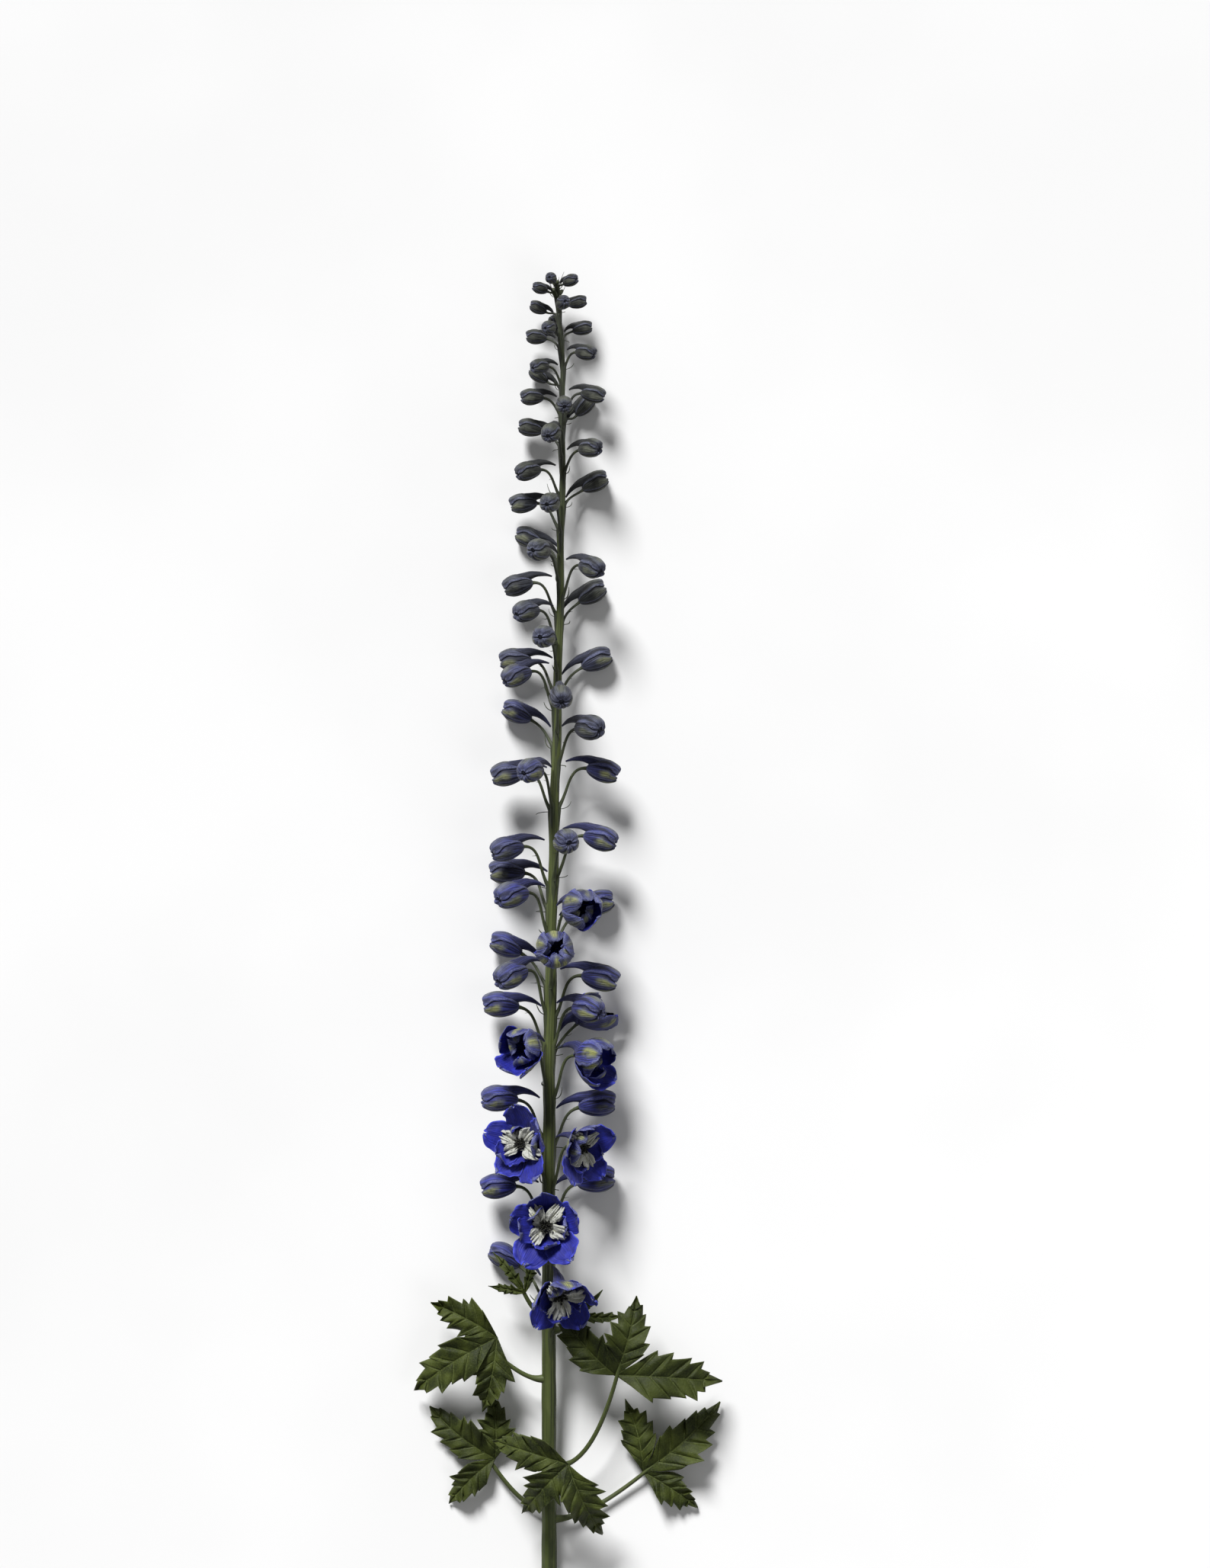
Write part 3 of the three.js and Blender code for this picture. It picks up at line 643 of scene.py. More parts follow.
def add_bud(shape, floret, draw, tone):
    """A closed bud: a hood and four more sepals folded over one another, each ending in a knob with a pit."""
    length, width = floret.length, floret.width
    psi = np.linspace(-pi / 2, pi / 2, BUD_ROWS)[1:-1, None]
    share, reach = (1 + np.sin(psi)) / 2, np.cos(psi)
    turn, across, dip, seam_shade, pale, number = bud_columns(share, reach**BLUNTNESS, draw)
    theta = np.radians(turn)
    along = share + 0 * theta

    middle = np.sin(pi * across) ** 0.7
    swell = 1.02 + 0.05 * middle - dip * smooth(share, 0, 0.25) - 0.02 * bell(across, 0.5, 0.1)
    radius = width / 2 * reach**BLUNTNESS * (1 - BASE_TAPER * (1 - share) ** 2) * swell
    outer = share > 0.5
    tips = np.array([draw(0.7, 1.5) for _ in BUD_SEPALS])[number]
    knob = tips * bell(reach, 0.5, 0.24) * middle**2 * outer
    pit = bell(reach, 0.5, 0.09) * bell(across, 0.5, 0.1) * outer
    dimple = bell(reach, 0, 0.22) * outer
    hood = (0.035 * np.sin(theta) + 0.03 * (number == 0)) * smooth(share, 0.5, 1)
    pleats = 0.012 * np.cos(9 * theta + 5 * share) * smooth(share, 0.86, 0.97)
    z = length * (share**0.8 - 0.02 + 0.07 * knob - 0.03 * pit - 0.035 * dimple + hood + pleats)
    sag = BUD_SAG * width
    points = with_poles([radius * np.cos(theta), radius * np.sin(theta) - sag * share**4, z],
                        [0, 0, 0], [0, -sag, z[-1].mean() - 0.005 * length])

    blotch = bell(across, 0.5, 0.2) * smooth(share, 0.3, 0.55) * (1 - smooth(share, 0.86, 0.96))
    blotch *= np.array(SEPAL_GREEN)[number]
    # Painted shade along the middle of the green blotch, in the pits and at both poles; the pale at the outer
    # end is partly the sepals' pale tips and partly painted highlight on the knobs.
    seam_shade += 0.55 * blotch * bell(across, 0.5, 0.022) + 0.35 * pit
    pale = 0.8 * pale + 0.5 * smooth(share, 0.8, 0.97) * middle
    coat = with_poles([np.clip(seam_shade, 0, 1), blotch, np.clip(pale, 0, 1)], [0.5, 0, 0], [0.4, 0, 0.5])
    marks = with_poles([along, np.abs(2 * across - 1), 0 * along], [0, 0.5, 0], [1, 0.9, 0])
    grain = with_poles([1.2 * along, np.cos(theta), np.sin(theta)], [0, 0, 0], [1.2, 0, 0])
    shape.add(world(floret, points), barrel_faces(*turn.shape), marks, grain, tone, coat)


SPUR_STEPS = 20


def spur_reach(floret):
    to_stem = (floret.base - axis(floret.height)) @ floret.out
    room = to_stem - stem_radius(floret.height) - SPUR_CLEARS
    return min(SPUR_LENGTH * floret.size, max(room, 3 * floret.size))


def add_spur(shape, floret, length, tone):
    """The spur, which runs back from the hood: broad where it leaves it, bent over and pointed."""
    width, reach = floret.width, spur_reach(floret)
    bends = [[0, 0.17 * width, 0.5 * length], [0, 0.42 * width, 0.12 * length],
             [0, 0.46 * width, -0.42 * reach], [0, 0.16 * width, -reach]]
    path = bezier([np.array(bend) for bend in bends], SPUR_STEPS)
    t = np.linspace(0, 1, SPUR_STEPS)
    radius = lerp(0.33 * width, 0.55, t**0.7) * (1 + 0.04 * np.sin(19 * t))
    add_rod(shape, world(floret, path), radius, 16, tone, coat=(0.3, 0, 0.1), ribs=0.07, rib_count=5)


# Lengths are in mm at full size, and each pair is for a closed floret and one that is wide open.
SEPAL_START = radians(68)  # how far outwards from the axis a sepal sets off
SEPAL_CURL = [128, 6]  # how many degrees it curls back in by
SEPAL_BREADTH = [0.3, 0.42]  # half its width, as a share of its length
SEPAL_FOOT = 2.2  # how far from the axis it starts
FIFTH = tan(radians(36))  # half of its share of the circle, one mm from the axis
OVERLAP = 1.12  # how far beyond its share it reaches
CURVE_STEPS = 80
SEPAL_THICKNESS = 0.45
INNER_SEPALS = 4
INNER_RUFFLE = 2.4  # how much more their edges wave
CUP_RADIUS = 3.6
CUP_HEIGHT = 3.4
CUP_RINGS = 9


def own_openness(openness, gape, angle):
    """How open one sepal is: the upper one stays a hood over the throat, and the lower ones fall away."""
    return min(max(openness - gape * sin(angle), 0.05), 1)


def sepal_surface(floret, angle, openness, share, lift, draw, ruffle=1.0, hook=0.0):
    """A sepal sets off outwards and curls back in. Its tip may flick out, and its edge waves."""
    size = floret.size
    reach = SEPAL_LENGTH * size * share * draw(0.94, 1.06)
    half_width = reach * lerp(*SEPAL_BREADTH, openness) * draw(0.92, 1.08)
    phase, lap = draw(0, ANY_PHASE), draw(0.5, 1.0)
    flick = radians(draw(-34, 20) * openness - hook)
    fine = np.linspace(0, 1, CURVE_STEPS + 1)
    curl = radians(lerp(*SEPAL_CURL, openness))
    lean_at = SEPAL_START - curl * fine + flick * smooth(fine, 0.55, 1)
    rho_at, rise_at = (
        start + reach / CURVE_STEPS * np.concatenate([[0], np.cumsum(step)[:-1]])
        for start, step in ((SEPAL_FOOT * size, np.sin(lean_at)), (lift, np.cos(lean_at)))
    )

    def surface(u, v):
        reached = u - 0.055 * openness * u**5 * (1 + np.sin(9 * v + 2 * phase))
        lean, rho, rise = (np.interp(reached, fine, values) for values in (lean_at, rho_at, rise_at))
        outline = np.sqrt(np.clip(1 - ((u - 0.58) / np.where(u < 0.58, 0.63, 0.424)) ** 2, 0.003, 1))
        edge = 1 + 0.06 * np.sin(7 * u + phase) + 0.045 * np.sin(19 * u + 2 * phase)
        across = v * np.minimum(half_width * outline * edge, rho * FIFTH * OVERLAP)
        roundness = (rho + 2) / (1 - 0.72 * openness)
        wrap = np.clip(across / roundness, -1.25, 1.25)
        inward = roundness * (1 - np.cos(wrap))
        wave = ruffle * np.abs(v) ** 3 * u * np.sin(8 * u * (1 + 0.35 * np.sign(v)) + phase)
        rib = 0.6 * bell(v, 0, 0.16) * (u - 0.2)
        buckle = 0.6 * np.sin(3.4 * v + phase) * u**2
        frill = np.abs(v) ** 5 * np.sin(27 * u + 3 * phase) * u + 0.25 * np.sin(10 * v + 2 * phase) * u**5
        inward += size * (lap * v * u - rib + 0.8 * wave + buckle + 0.85 * openness * frill)
        out, up = rho - inward * np.cos(lean), rise + inward * np.sin(lean)
        return from_middle(angle, out, roundness * np.sin(wrap), up)

    return surface


def sepal_coat(u, v):
    """A sepal's outside: a green blotch along the middle near its tip with a dark middle line, downy edges
    and a dark foot; the dark line and the dark foot are painted shade.
    """
    blotch = bell(v, 0, 0.3) * smooth(u, 0.45, 0.66) * (1 - smooth(u, 0.86, 0.98))
    pale = np.clip(smooth(np.abs(v), 0.5, 1) + smooth(u, 0.8, 1), 0, 1)
    slit = 0.5 * blotch * bell(v, 0, 0.04)
    return np.stack([0.5 * (1 - smooth(u, 0, 0.25)) + slit, blotch, pale], -1)


def stations(count):
    """Places along a sepal, closer together towards its rounded tip."""
    return 1 - (1 - np.linspace(0, 1, count)) ** 1.5


def add_sepals(shape, floret, openness, gape, draw, ripe):
    """Five sepals, and inner ones whose tips hook in over the throat, most so before it is fully open."""
    closing = 1 - float(smooth(openness, 0.15, 0.7))
    for k in range(5):
        angle = radians(90 + 72 * k)
        own = own_openness(openness * draw(0.88, 1.08), gape, angle)
        surface = sepal_surface(floret, angle + draw(-0.12, 0.12), own, 1, 0.7, draw, hook=26 * closing)
        tone = (ripe, draw(), 0)
        add_blade(shape, surface, stations(28), 25, SEPAL_THICKNESS, floret, tone, sepal_coat, k)
    for k in range(INNER_SEPALS):
        angle = radians(126 + 72 * k)
        own = own_openness(openness * draw(0.55 * (1 - closing), 0.95), gape, angle)
        share = lerp(0.94, 0.68, openness) * draw(0.84, 1.1)
        surface = sepal_surface(floret, angle + draw(-0.3, 0.3), own, share, 2.2, draw,
                                INNER_RUFFLE, draw(75 * closing, 110))
        tone = (ripe, draw(), 0)
        add_blade(shape, surface, stations(24), 19, SEPAL_THICKNESS, floret, tone, sepal_coat, 5 + k)


def add_cup(shape, floret, tone):
    """The rounded cup from which a floret's spur and sepals grow."""
    path = np.outer(np.linspace(0, CUP_HEIGHT, CUP_RINGS), SKYWARD) * floret.size
    bulge = np.sqrt(np.clip(1 - np.linspace(-1, 1, CUP_RINGS) ** 2, 0.05, 1))
    add_rod(shape, world(floret, path), bulge * CUP_RADIUS * floret.size, 18, tone)


TONGUE_SLITS = 6
TONGUE_HAIRS = 22
SMALL_TONGUES = 2
STAMENS = 30
STAMEN_TURN = 2.4  # in radians, from each stamen to the next


def bee_foot(floret):
    """How far out in a floret its bee starts, just clear of the cup."""
    return (CUP_HEIGHT + 0.3) * floret.size + GAP


def tongue_surface(floret, angle, openness, draw, reach):
    """One tongue of the bee: a claw that widens into two crumpled lobes, whose ends fray into fingers."""
    size, foot = floret.size, bee_foot(floret)
    tilt, splay, roll = draw(-9, 9), draw(-0.3, 0.3), draw(-0.35, 0.35)
    phases = [draw(0, ANY_PHASE) for _ in range(4)]
    places = np.sort([draw(-0.95, 0.95) for _ in range(TONGUE_SLITS)])
    slits = [(place, draw(0.12, 0.5)) for place in places]

    def surface(u, v):
        far = np.abs(v)
        lean = np.radians(lerp(6, 24, openness) + tilt + lerp(16, 56, openness) * u)
        cut = sum(depth * bell(v, place, 0.07) for place, depth in slits)
        end = 1.12 - 0.3 * bell(v, 0, 0.12) - cut - 0.28 * far**3
        along = reach * size * u * lerp(1, end, u**2)
        half = size * np.interp(u, [0, 0.25, 0.5, 0.8, 1], [0.8, 1.9, 4.0, 4.9, 4.4])
        half = half * (1 + 0.1 * np.sin(8 * u + phases[0]) * np.sign(v))
        lobes = 1.9 * (far**1.3 - 0.6 * bell(v, 0, 0.2)) * u
        crumple = 0.8 * np.sin(7 * v + phases[1] + 3 * u) * u + 0.7 * np.sin(9 * u + phases[2] + 2 * v) * far
        curl = 1.6 * np.sin(15 * v + phases[3]) * u**5
        raised = size * (lobes + crumple + curl + 4 * roll * v * u)
        out = 1.3 * size + along * np.sin(lean) - raised * np.cos(lean)
        up = foot + 1.2 * size + along * np.cos(lean) + raised * np.sin(lean)
        return from_middle(angle, out, v * half + splay * along, up)

    return surface


def add_tongues(shape, floret, openness, draw):
    """Four ragged, hairy tongues round the throat, and smaller ones crowded between them."""
    size = floret.size
    turns = [45 + 90 * k + draw(-18, 18) for k in range(4)]
    rows = [[turn, draw(11, 14.5)] for turn in turns]
    rows += [[turn + 45, draw(5, 8)] for turn in turns[:SMALL_TONGUES]]
    for k, (turn, reach) in enumerate(rows):
        surface = tongue_surface(floret, radians(turn), openness, draw, reach)
        add_blade(shape, surface, np.linspace(0, 1, 20), 47, 0.7, floret, (1, draw(), 0), number=k)
        for _ in range(TONGUE_HAIRS):
            root = surface(draw(0.25, 0.85), draw(-0.8, 0.8))
            heading = unit(np.array([draw(-1, 1), draw(-1, 1), 1.6]))
            tip = root + heading * draw(1.2, 2.8) * size
            hair = np.array([root, (root + tip) / 2 + 0.2, tip])
            add_rod(shape, world(floret, hair), [0.15, 0.11, 0.05], 4)
    core = np.array([[0, 0, bee_foot(floret) + z * size] for z in (0, 0.9, 1.8, 2.6)])
    add_rod(shape, world(floret, core), np.array([1.9, 1.8, 1.6, 1.0]) * size, 12)


def add_stamens(shape, floret, draw):
    """The dark stamens crowded in the throat."""
    size = floret.size
    foot = bee_foot(floret) + 2 * size
    for k in range(STAMENS):
        reach = size * 4.3 * sqrt((k + 0.5) / STAMENS)
        head = from_middle(STAMEN_TURN * k, reach, 0, foot + size * draw(2.4, 5.2))
        root = np.array([head[0] * 0.3, head[1] * 0.3, foot - size])
        thread = bezier([root, (root + head) / 2 + [0, 0, 0.4], head], 5)
        add_rod(shape, world(floret, thread), [0.22 * size] * 5, 5)
        heading = (head + [0, 0, 2]) @ floret.basis
        add_barrel(shape, world(floret, head), heading, 2.0 * size, 1.25 * size, 6, 7)


# ----- the stem and what grows from it -----
STEM_RINGS = 300
STEM_SIDES = 44
RIDGE_STEPS = 8
ARCH_STEPS = 18
BRACT_STEPS = 14
CROWN_BUDS = 8
GOLDEN_ANGLE = 137.5


def add_main_stem(shape):
    """The tapering, ribbed stem, greenest low down."""
    heights = np.linspace(0, STEM_LENGTH, STEM_RINGS)
    path = axis(heights)
    path[:, 0] += 0.4 * np.sin(heights / 14) * smooth(heights, 250, 400)
    radius = stem_radius(heights) * (1 + 0.02 * np.sin(heights / 9) + 0.015 * np.sin(heights / 4.1))
    ripe = np.interp(heights, [0, 90, 300, 700, 850, 946], [1, 0.95, 0.75, 0.7, 0.35, 0.05])
    tone = np.repeat([[value, 0.5, 0] for value in ripe], STEM_SIDES, axis=0)
    add_rod(shape, path, radius, STEM_SIDES, tone, ribs=0.035, rib_count=9)


def pedicel_path(floret):
    """A pedicel is first a ridge down the stem's side, then it leaves it and arches over to the floret."""
    root = floret.height - pedicel_rise(floret.height)
    start = axis(root) + floret.out * stem_radius(root) * 0.85
    end = floret.base - floret.face * GAP
    span = np.linalg.norm(end - start)
    leaving = start + (floret.out * 0.22 + UP_STEM * 0.32) * span
    arch = bezier([start, leaving, end - floret.face * 0.4 * span, end + floret.face * 0.6], ARCH_STEPS)
    below = root - 24 * floret.size * np.linspace(1, 0.12, RIDGE_STEPS)
    depth = stem_radius(below) - np.linspace(1.2, 0.5, RIDGE_STEPS) * floret.size
    return np.concatenate([axis(below) + floret.out * depth[:, None], arch])


def add_pedicel(shape, floret):
    """A pedicel is swollen where it leaves the stem and where it meets its floret."""
    t = np.linspace(0, 1, ARCH_STEPS)
    arch = 0.9 + 0.75 * np.exp(-t / 0.1) + 0.5 * np.exp(-(1 - t) / 0.07)
    ridge = np.linspace(0.7, 1.6, RIDGE_STEPS)
    radius = PEDICEL_RADIUS * lerp(0.55, 1, floret.size) * np.concatenate([ridge, arch])
    ripe = np.interp(floret.height, [300, 600, 850], [0.5, 0.4, 0.1])
    add_rod(shape, pedicel_path(floret), radius, 10, (ripe, 0.5, 0), ribs=0.05, rib_count=4)


def bract_surface(start, out, reach, width, bend, aside):
    """A narrow pointed blade that starts outwards and bends up the stem."""
    tip = start + (out * 0.62 + UP_STEM * bend + aside * 0.15) * reach
    path = bezier([start, start + out * 0.55 * reach, tip], BRACT_STEPS)

    def surface(u, v):
        middle = np.stack([np.interp(u, np.linspace(0, 1, BRACT_STEPS), line) for line in path.T], -1)
        half = width / 2 * np.sin(np.pi * np.clip(u * 0.86 + 0.12, 0, 1)) ** 0.7
        return middle + (v * half)[..., None] * aside + (0.25 * width * v**2)[..., None] * UP_STEM

    return surface


def add_thread(shape, bends, steps, thick, thin):
    """A thread-like bract that tapers to its tip."""
    add_rod(shape, bezier(bends, steps), np.linspace(thick, thin, steps), 5, (0.2, 0.5, 0))


def add_bracts(shape, floret, draw):
    """A narrow bract under the pedicel, and two smaller threads near the floret."""
    root = floret.height - pedicel_rise(floret.height) - 1.5
    aside = unit(np.cross(floret.out, UP_STEM))
    start = axis(root) + floret.out * stem_radius(root) * 0.8
    reach = floret.size * draw(9, 17)
    bend, way = draw(-0.15, 0.8), 1 if draw() < 0.5 else -1
    surface = bract_surface(start, floret.out, reach, 1.2 * floret.size, bend, aside * way)
    add_blade(shape, surface, np.linspace(0, 1, 12), 5, 0.3, tone=(0.3, draw(), 0))
    arch = pedicel_path(floret)[RIDGE_STEPS:]
    places = [draw(7, 11), draw(11, 15)]
    for place, way in zip(places, (1, -1)):
        joint = arch[int(place)]
        reach = floret.size * draw(2, 5)
        elbow = joint + aside * way * 0.7 * reach + UP_STEM * draw(-1, 1)
        tip = joint + aside * way * reach + floret.face * reach * draw(0, 1)
        add_thread(shape, [joint, elbow, tip], 6, 0.35, 0.08)


def add_crown(shape, draw):
    """The undeveloped buds and bracts crowded at the very tip."""
    for k in range(CROWN_BUDS):
        out = outward(GOLDEN_ANGLE * k + 20)
        middle = axis(STEM_LENGTH + 2 - 1.4 * k) + out * (0.8 + 0.3 * k)
        heading = UP_STEM + out * (0.3 + 0.12 * k)
        add_barrel(shape, middle, heading, 3.6 + 0.36 * k, 2.2 + 0.2 * k, 9, 12, (0.45, draw(), 0))
        tip = middle + UP_STEM * draw(4, 8) + out * draw(3, 6)
        add_thread(shape, [middle - UP_STEM * 2, middle + out * 2, tip], 7, 0.4, 0.1)


# ----- leaves -----
# Half of a lobe's outline from its foot to its tip: [share of its length, share of its half width]. From the
# fourth on, every other one is the tip of a tooth, where a side vein ends.
BROAD_EDGE = [
    [0, 0.3], [0.12, 0.66], [0.22, 0.8], [0.36, 1.02], [0.365, 0.82], [0.52, 1.1], [0.51, 0.74], [0.66, 0.9],
    [0.645, 0.6], [0.79, 0.7], [0.775, 0.42], [0.89, 0.38], [0.88, 0.22], [1, 0.02],
]
NARROW_EDGE = [
    [0, 0.4], [0.14, 0.5], [0.28, 0.6], [0.42, 1.0], [0.44, 0.6], [0.58, 1.0], [0.6, 0.55], [0.75, 0.75],
    [0.77, 0.4], [1, 0.03],
]
FIRST_TOOTH = 3
NARROW_BELOW = 12
VEIN_SLANT = 0.8  # how far a side vein climbs for each mm that it reaches sideways
LOBE_FOLD = 0.35  # how steeply the two halves of a lobe rise from its midrib
GROOVE = 0.35  # how deep the midrib lies
ROWS_PER_STEP = 5
LOBE_COLUMNS = 23
UNDER_LEAF = 4  # how far below the blade a petiole comes up to it
FOOT_CLEARS = 6  # the least height of a blade's foot above the surface
LOBE_CLEARS = 0.6  # and of the rest of it
PETIOLE_STEPS = 24


def level(heading):
    """The level direction so many degrees from +X."""
    return np.array([cos(radians(heading)), sin(radians(heading)), 0])


def lobe_midrib(end, row):
    """The three points that bend a lobe's midrib."""
    heading, length, _, sweep, arch, droop = row
    elbow = end + level(heading) * length / 2
    tip = elbow + level(heading + sweep) * length / 2
    return [end, elbow + [0, 0, arch], tip - [0, 0, droop]]


def add_lobe(shape, end, row, half_gaps, draw, chance):
    """One lobe. Near its foot it reaches half way to each neighbour, so that together they are one blade."""
    _, length, width, *_ = row
    edge = np.array(NARROW_EDGE if width < NARROW_BELOW else BROAD_EDGE)
    steps = np.arange(len(edge))
    last = steps[-1]
    teeth = (steps >= FIRST_TOOTH) & (steps % 2 == 1)
    sides = []
    for half_gap in half_gaps:
        shift = np.repeat([draw(-0.04, 0.03) for _ in steps], 2)[1:len(edge) + 1]
        places = edge[:, 0] + shift * ((steps >= FIRST_TOOTH) & (steps < last))
        reaches = edge[:, 1] * (1 + np.array([draw(-0.3, 0.16) for _ in steps]) * teeth)
        sides.append([places, reaches, tan(radians(half_gap)), draw(0, ANY_PHASE), draw(0.3, 1)])
    vein_starts = np.maximum(edge[:, 0] - VEIN_SLANT * edge[:, 1] * width / 2 / length, 0)
    midrib = foot, elbow, tip = lobe_midrib(end, row)
    roll = draw(-0.28, 0.28)

    def surface(u, v):
        step, far = u * last, np.abs(v)
        right, left = (
            [np.interp(step, steps, places), np.interp(step, steps, reaches), *rest]
            for places, reaches, *rest in sides
        )
        place, reach, spread, phase, waviness = (np.where(v < 0, a, b) for a, b in zip(right, left))
        offset = v * np.minimum(reach * width / 2, np.maximum(place, 0.02) * length * spread)
        share = np.clip(lerp(np.interp(step, steps, vein_starts), place, far), 0, 1)
        point = curve(midrib, share[..., None])
        tangent = lerp(elbow - foot, tip - elbow, share[..., None])
        across = np.stack([-tangent[..., 1], tangent[..., 0]], -1)
        across /= np.linalg.norm(across, axis=-1, keepdims=True)
        point[..., :2] += across * offset[..., None]
        free = smooth(share, 0.1, 0.4)
        wave = waviness * 0.19 * width * far**2 * np.sin(9 * place + phase)
        pucker = 3 * np.cos(pi * step) * far * (1 - far) + 0.5 * np.sin(5 * step + 4 * far + phase) * far
        point[..., 2] += LOBE_FOLD * np.abs(offset) * (1 - 0.5 * far * free)
        point[..., 2] += (roll * offset + wave + pucker) * free - GROOVE * bell(offset, 0, 0.8)
        point[..., 2] = np.maximum(point[..., 2], LOBE_CLEARS)
        return point

    def vein_map(u, v):
        distance = np.abs(v) * np.interp(u * last, steps, edge[:, 1]) * width / 2
        return np.stack([u * last, distance, smooth(np.abs(v), 0.88, 1)], -1)

    places = np.linspace(0, 1, ROWS_PER_STEP * last + 1)
    add_blade(shape, surface, places, LOBE_COLUMNS, 0.5, tone=(1, chance, 0), coat=vein_map)


def add_leaf(shape, leaf, draw):
    """A petiole, from its sheath on the stem to the underside of the middle lobe, and the lobes."""
    height, turn, petiole, climb, lobes = leaf
    out, steep = outward(turn), radians(climb)
    start = axis(height) + out * (stem_radius(height) + 2 * GAP)
    end = start + (out * cos(steep) + UP_STEM * sin(steep)) * petiole
    end[2] = max(end[2], FOOT_CLEARS)
    midrib = lobe_midrib(end, lobes[1])
    under = curve(midrib, 0.1) - SKYWARD * UNDER_LEAF
    path = bezier([start, start + out * petiole * 0.4, under, curve(midrib, 0.2)], PETIOLE_STEPS)
    sheath = axis(height) + out * stem_radius(height) * 0.5
    thick = np.interp(np.linspace(0, 1, PETIOLE_STEPS), [0, 0.14, 0.8, 1], [2.7, 1.6, 1.3, 0.7])
    add_rod(shape, [sheath, *path], [3.4, *thick], 12, (0.85, 0.5, 0), slot=1, ribs=0.06, rib_count=5)
    chance = draw()
    halves = [(after[0] - before[0]) / 2 for before, after in zip(lobes, lobes[1:])]
    halves = [halves[0], *halves, halves[-1]]
    for k, row in enumerate(lobes):
        add_lobe(shape, end, row, halves[k:k + 2], draw, chance)


# ----- the plant -----
def add_closed_floret(shape, floret, draw, ripe):
    tone = (ripe, draw(), 0)
    add_bud(shape, floret, draw, tone)
    add_spur(shape, floret, floret.length, tone)


def add_parted_floret(shape, floret, openness, gape, draw, ripe, cup_ripe):
    """The cup, spur and sepals of a floret that is open or opening."""
    add_cup(shape, floret, (cup_ripe, 0.5, 0))
    add_spur(shape, floret, floret.length * 0.3, (cup_ripe - 0.05, draw(), 0))
    add_sepals(shape, floret, openness, gape, draw, ripe)


def make_plant():
    layout = seeded(20)
    buds = [place_floret(*row, layout) for row in BUDS]
    tip_buds = [place_floret(*row, layout) for row in TIP_BUDS]
    opening = [place_floret(*row[:2], layout) for row in OPENING]
    blooms = [place_floret(*row[:2], layout, row[4]) for row in BLOOMS]
    florets = [*buds, *tip_buds, *opening, *blooms]
    draw = seeded(77)

    for k, floret in enumerate(buds, 1):
        shape = Shape()
        ripe = ripeness(floret.height) + draw(-RIPENESS_SPREAD, RIPENESS_SPREAD)
        add_closed_floret(shape, floret, draw, ripe)
        shape.piece(f"closed_floret_{k:02d}", [SEPAL], "bud", f"bud_{k:02d}")

    for k, (floret, (_, _, openness, gape)) in enumerate(zip(opening, OPENING), 1):
        shape = Shape()
        add_parted_floret(shape, floret, openness, gape, draw, ripeness(floret.height) + 0.06, 0.9)
        shape.piece(f"opening_floret_{k:02d}", [SEPAL], "sepal", f"opening_{k:02d}")

    for k, (floret, (_, _, openness, gape, _)) in enumerate(zip(blooms, BLOOMS), 1):
        sepals, tongues, stamens = Shape(), Shape(), Shape()
        add_parted_floret(sepals, floret, openness, gape, draw, 1, 1)
        add_tongues(tongues, floret, openness, draw)
        add_stamens(stamens, floret, draw)
        sepals.piece(f"open_floret_{k:02d}", [SEPAL], "sepal", f"bloom_{k:02d}_sepals")
        tongues.piece(f"tongues_{k:02d}", [BEE], "bee", f"bloom_{k:02d}_bee")
        stamens.piece(f"stamens_{k:02d}", [STAMEN], "bee")

    tip = Shape()
    for floret in tip_buds:
        add_closed_floret(tip, floret, draw, ripeness(floret.height))
    tip.piece("tip_buds", [SEPAL], "bud", "stem")

    stalk, fringe = Shape(), Shape()
    add_main_stem(stalk)
    for floret in florets:
        add_pedicel(stalk, floret)
        add_bracts(fringe, floret, draw)
    add_crown(fringe, draw)
    stalk.piece("main_stem", [STEM], "stem", "stem")
    fringe.piece("bracts", [STEM], "stem", "stem")

    for k, row in enumerate(LEAVES, 1):
        shape = Shape()
        add_leaf(shape, row, draw)
        shape.piece(f"toothed_leaf_{k:02d}", [LEAF, STEM], "leaf", f"leaf_{k:02d}")


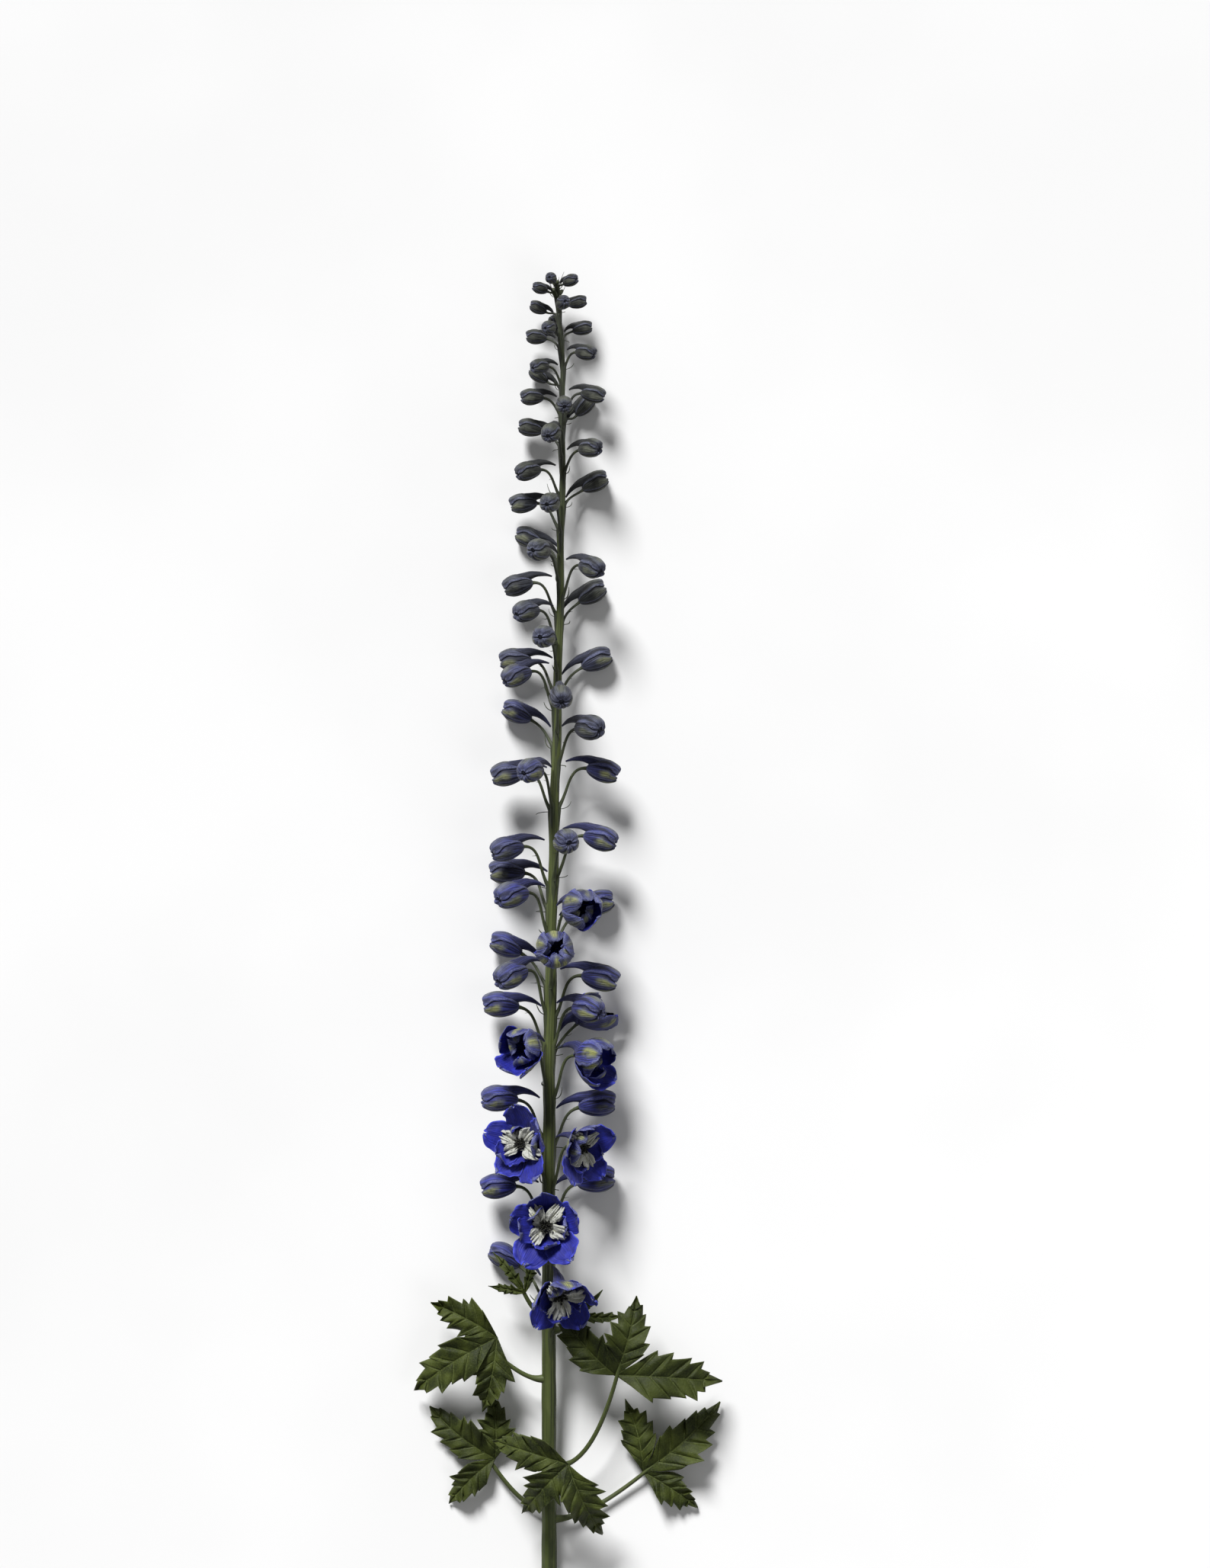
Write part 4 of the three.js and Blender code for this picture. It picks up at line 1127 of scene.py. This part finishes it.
# ----- the studio -----
PIXEL = 0.52 * MM  # one pixel of the photograph at the stem's height
PHOTO_SIZE = (1588, 2057)
STEM_COLUMN = 720  # the photograph's column on which the stem stands low down
HEIGHT_AT_PHOTO_EDGE = 70 * MM  # how far up the stem the photograph's lower edge cuts it
CAMERA_DISTANCE = 2.4
STEM_LEVEL = 25 * MM  # the height that its distance is measured from
FLOOR_REACH = 60.0
FLOOR_DROP = 0.5 * MM  # keeps the floor clear of the faces that lie on the surface


def make_camera():
    """It looks straight down and frames the spike as the photograph does."""
    width, tall = (side * PIXEL for side in PHOTO_SIZE)
    camera = bpy.data.cameras.new("camera")
    camera.lens = camera.sensor_width * CAMERA_DISTANCE / tall
    camera.clip_end = 20
    holder = link("camera", camera)
    x = ORIGIN[0] + width / 2 - STEM_COLUMN * PIXEL
    y = ORIGIN[1] + HEIGHT_AT_PHOTO_EDGE + tall / 2
    holder.location = (x, y, STEM_LEVEL + CAMERA_DISTANCE)
    bpy.context.scene.camera = holder


def make_floor():
    """A very wide sheet of pale paper."""
    mesh = bpy.data.meshes.new("floor")
    corners = [(x * FLOOR_REACH, y * FLOOR_REACH, 0) for x, y in ((-1, -1), (1, -1), (1, 1), (-1, 1))]
    mesh.from_pydata(corners, [], [(0, 1, 2, 3)])
    mesh.materials.append(plain_paint("paper", "e9e9e9", "e5e5e5", 3, Roughness=0.9, Specular_IOR_Level=0.2))
    floor = link("floor", mesh)
    floor.location.z = -FLOOR_DROP


def add_light(name, kind, place, power, **settings):
    """A light that shines from a place towards the middle of the spike."""
    light = bpy.data.lights.new(name, kind)
    light.energy = power
    for label, value in settings.items():
        setattr(light, label, value)
    holder = link(name, light)
    holder.location = place
    holder.rotation_mode = "QUATERNION"
    holder.rotation_quaternion = (-holder.location).to_track_quat("-Z", "Y")


def make_lights():
    """A broad sun for soft shadows, a weak fill from the other side and a little light from all round."""
    add_light("key", "SUN", place=(-1.3, 3.8, 2.9), power=5.2, angle=radians(18))
    add_light("fill", "AREA", place=(1.8, -1.2, 2.4), power=9, shape="DISK", size=1.8)
    studio = bpy.data.worlds.new("studio")
    studio.use_nodes = True
    background = studio.node_tree.nodes["Background"].inputs
    background["Color"].default_value = (1, 1, 1, 1)
    background["Strength"].default_value = 0.2
    bpy.context.scene.world = studio
    bpy.context.scene.view_settings.view_transform = "Standard"


make_plant()
make_floor()
make_lights()
make_camera()

bpy.context.view_layer.update()
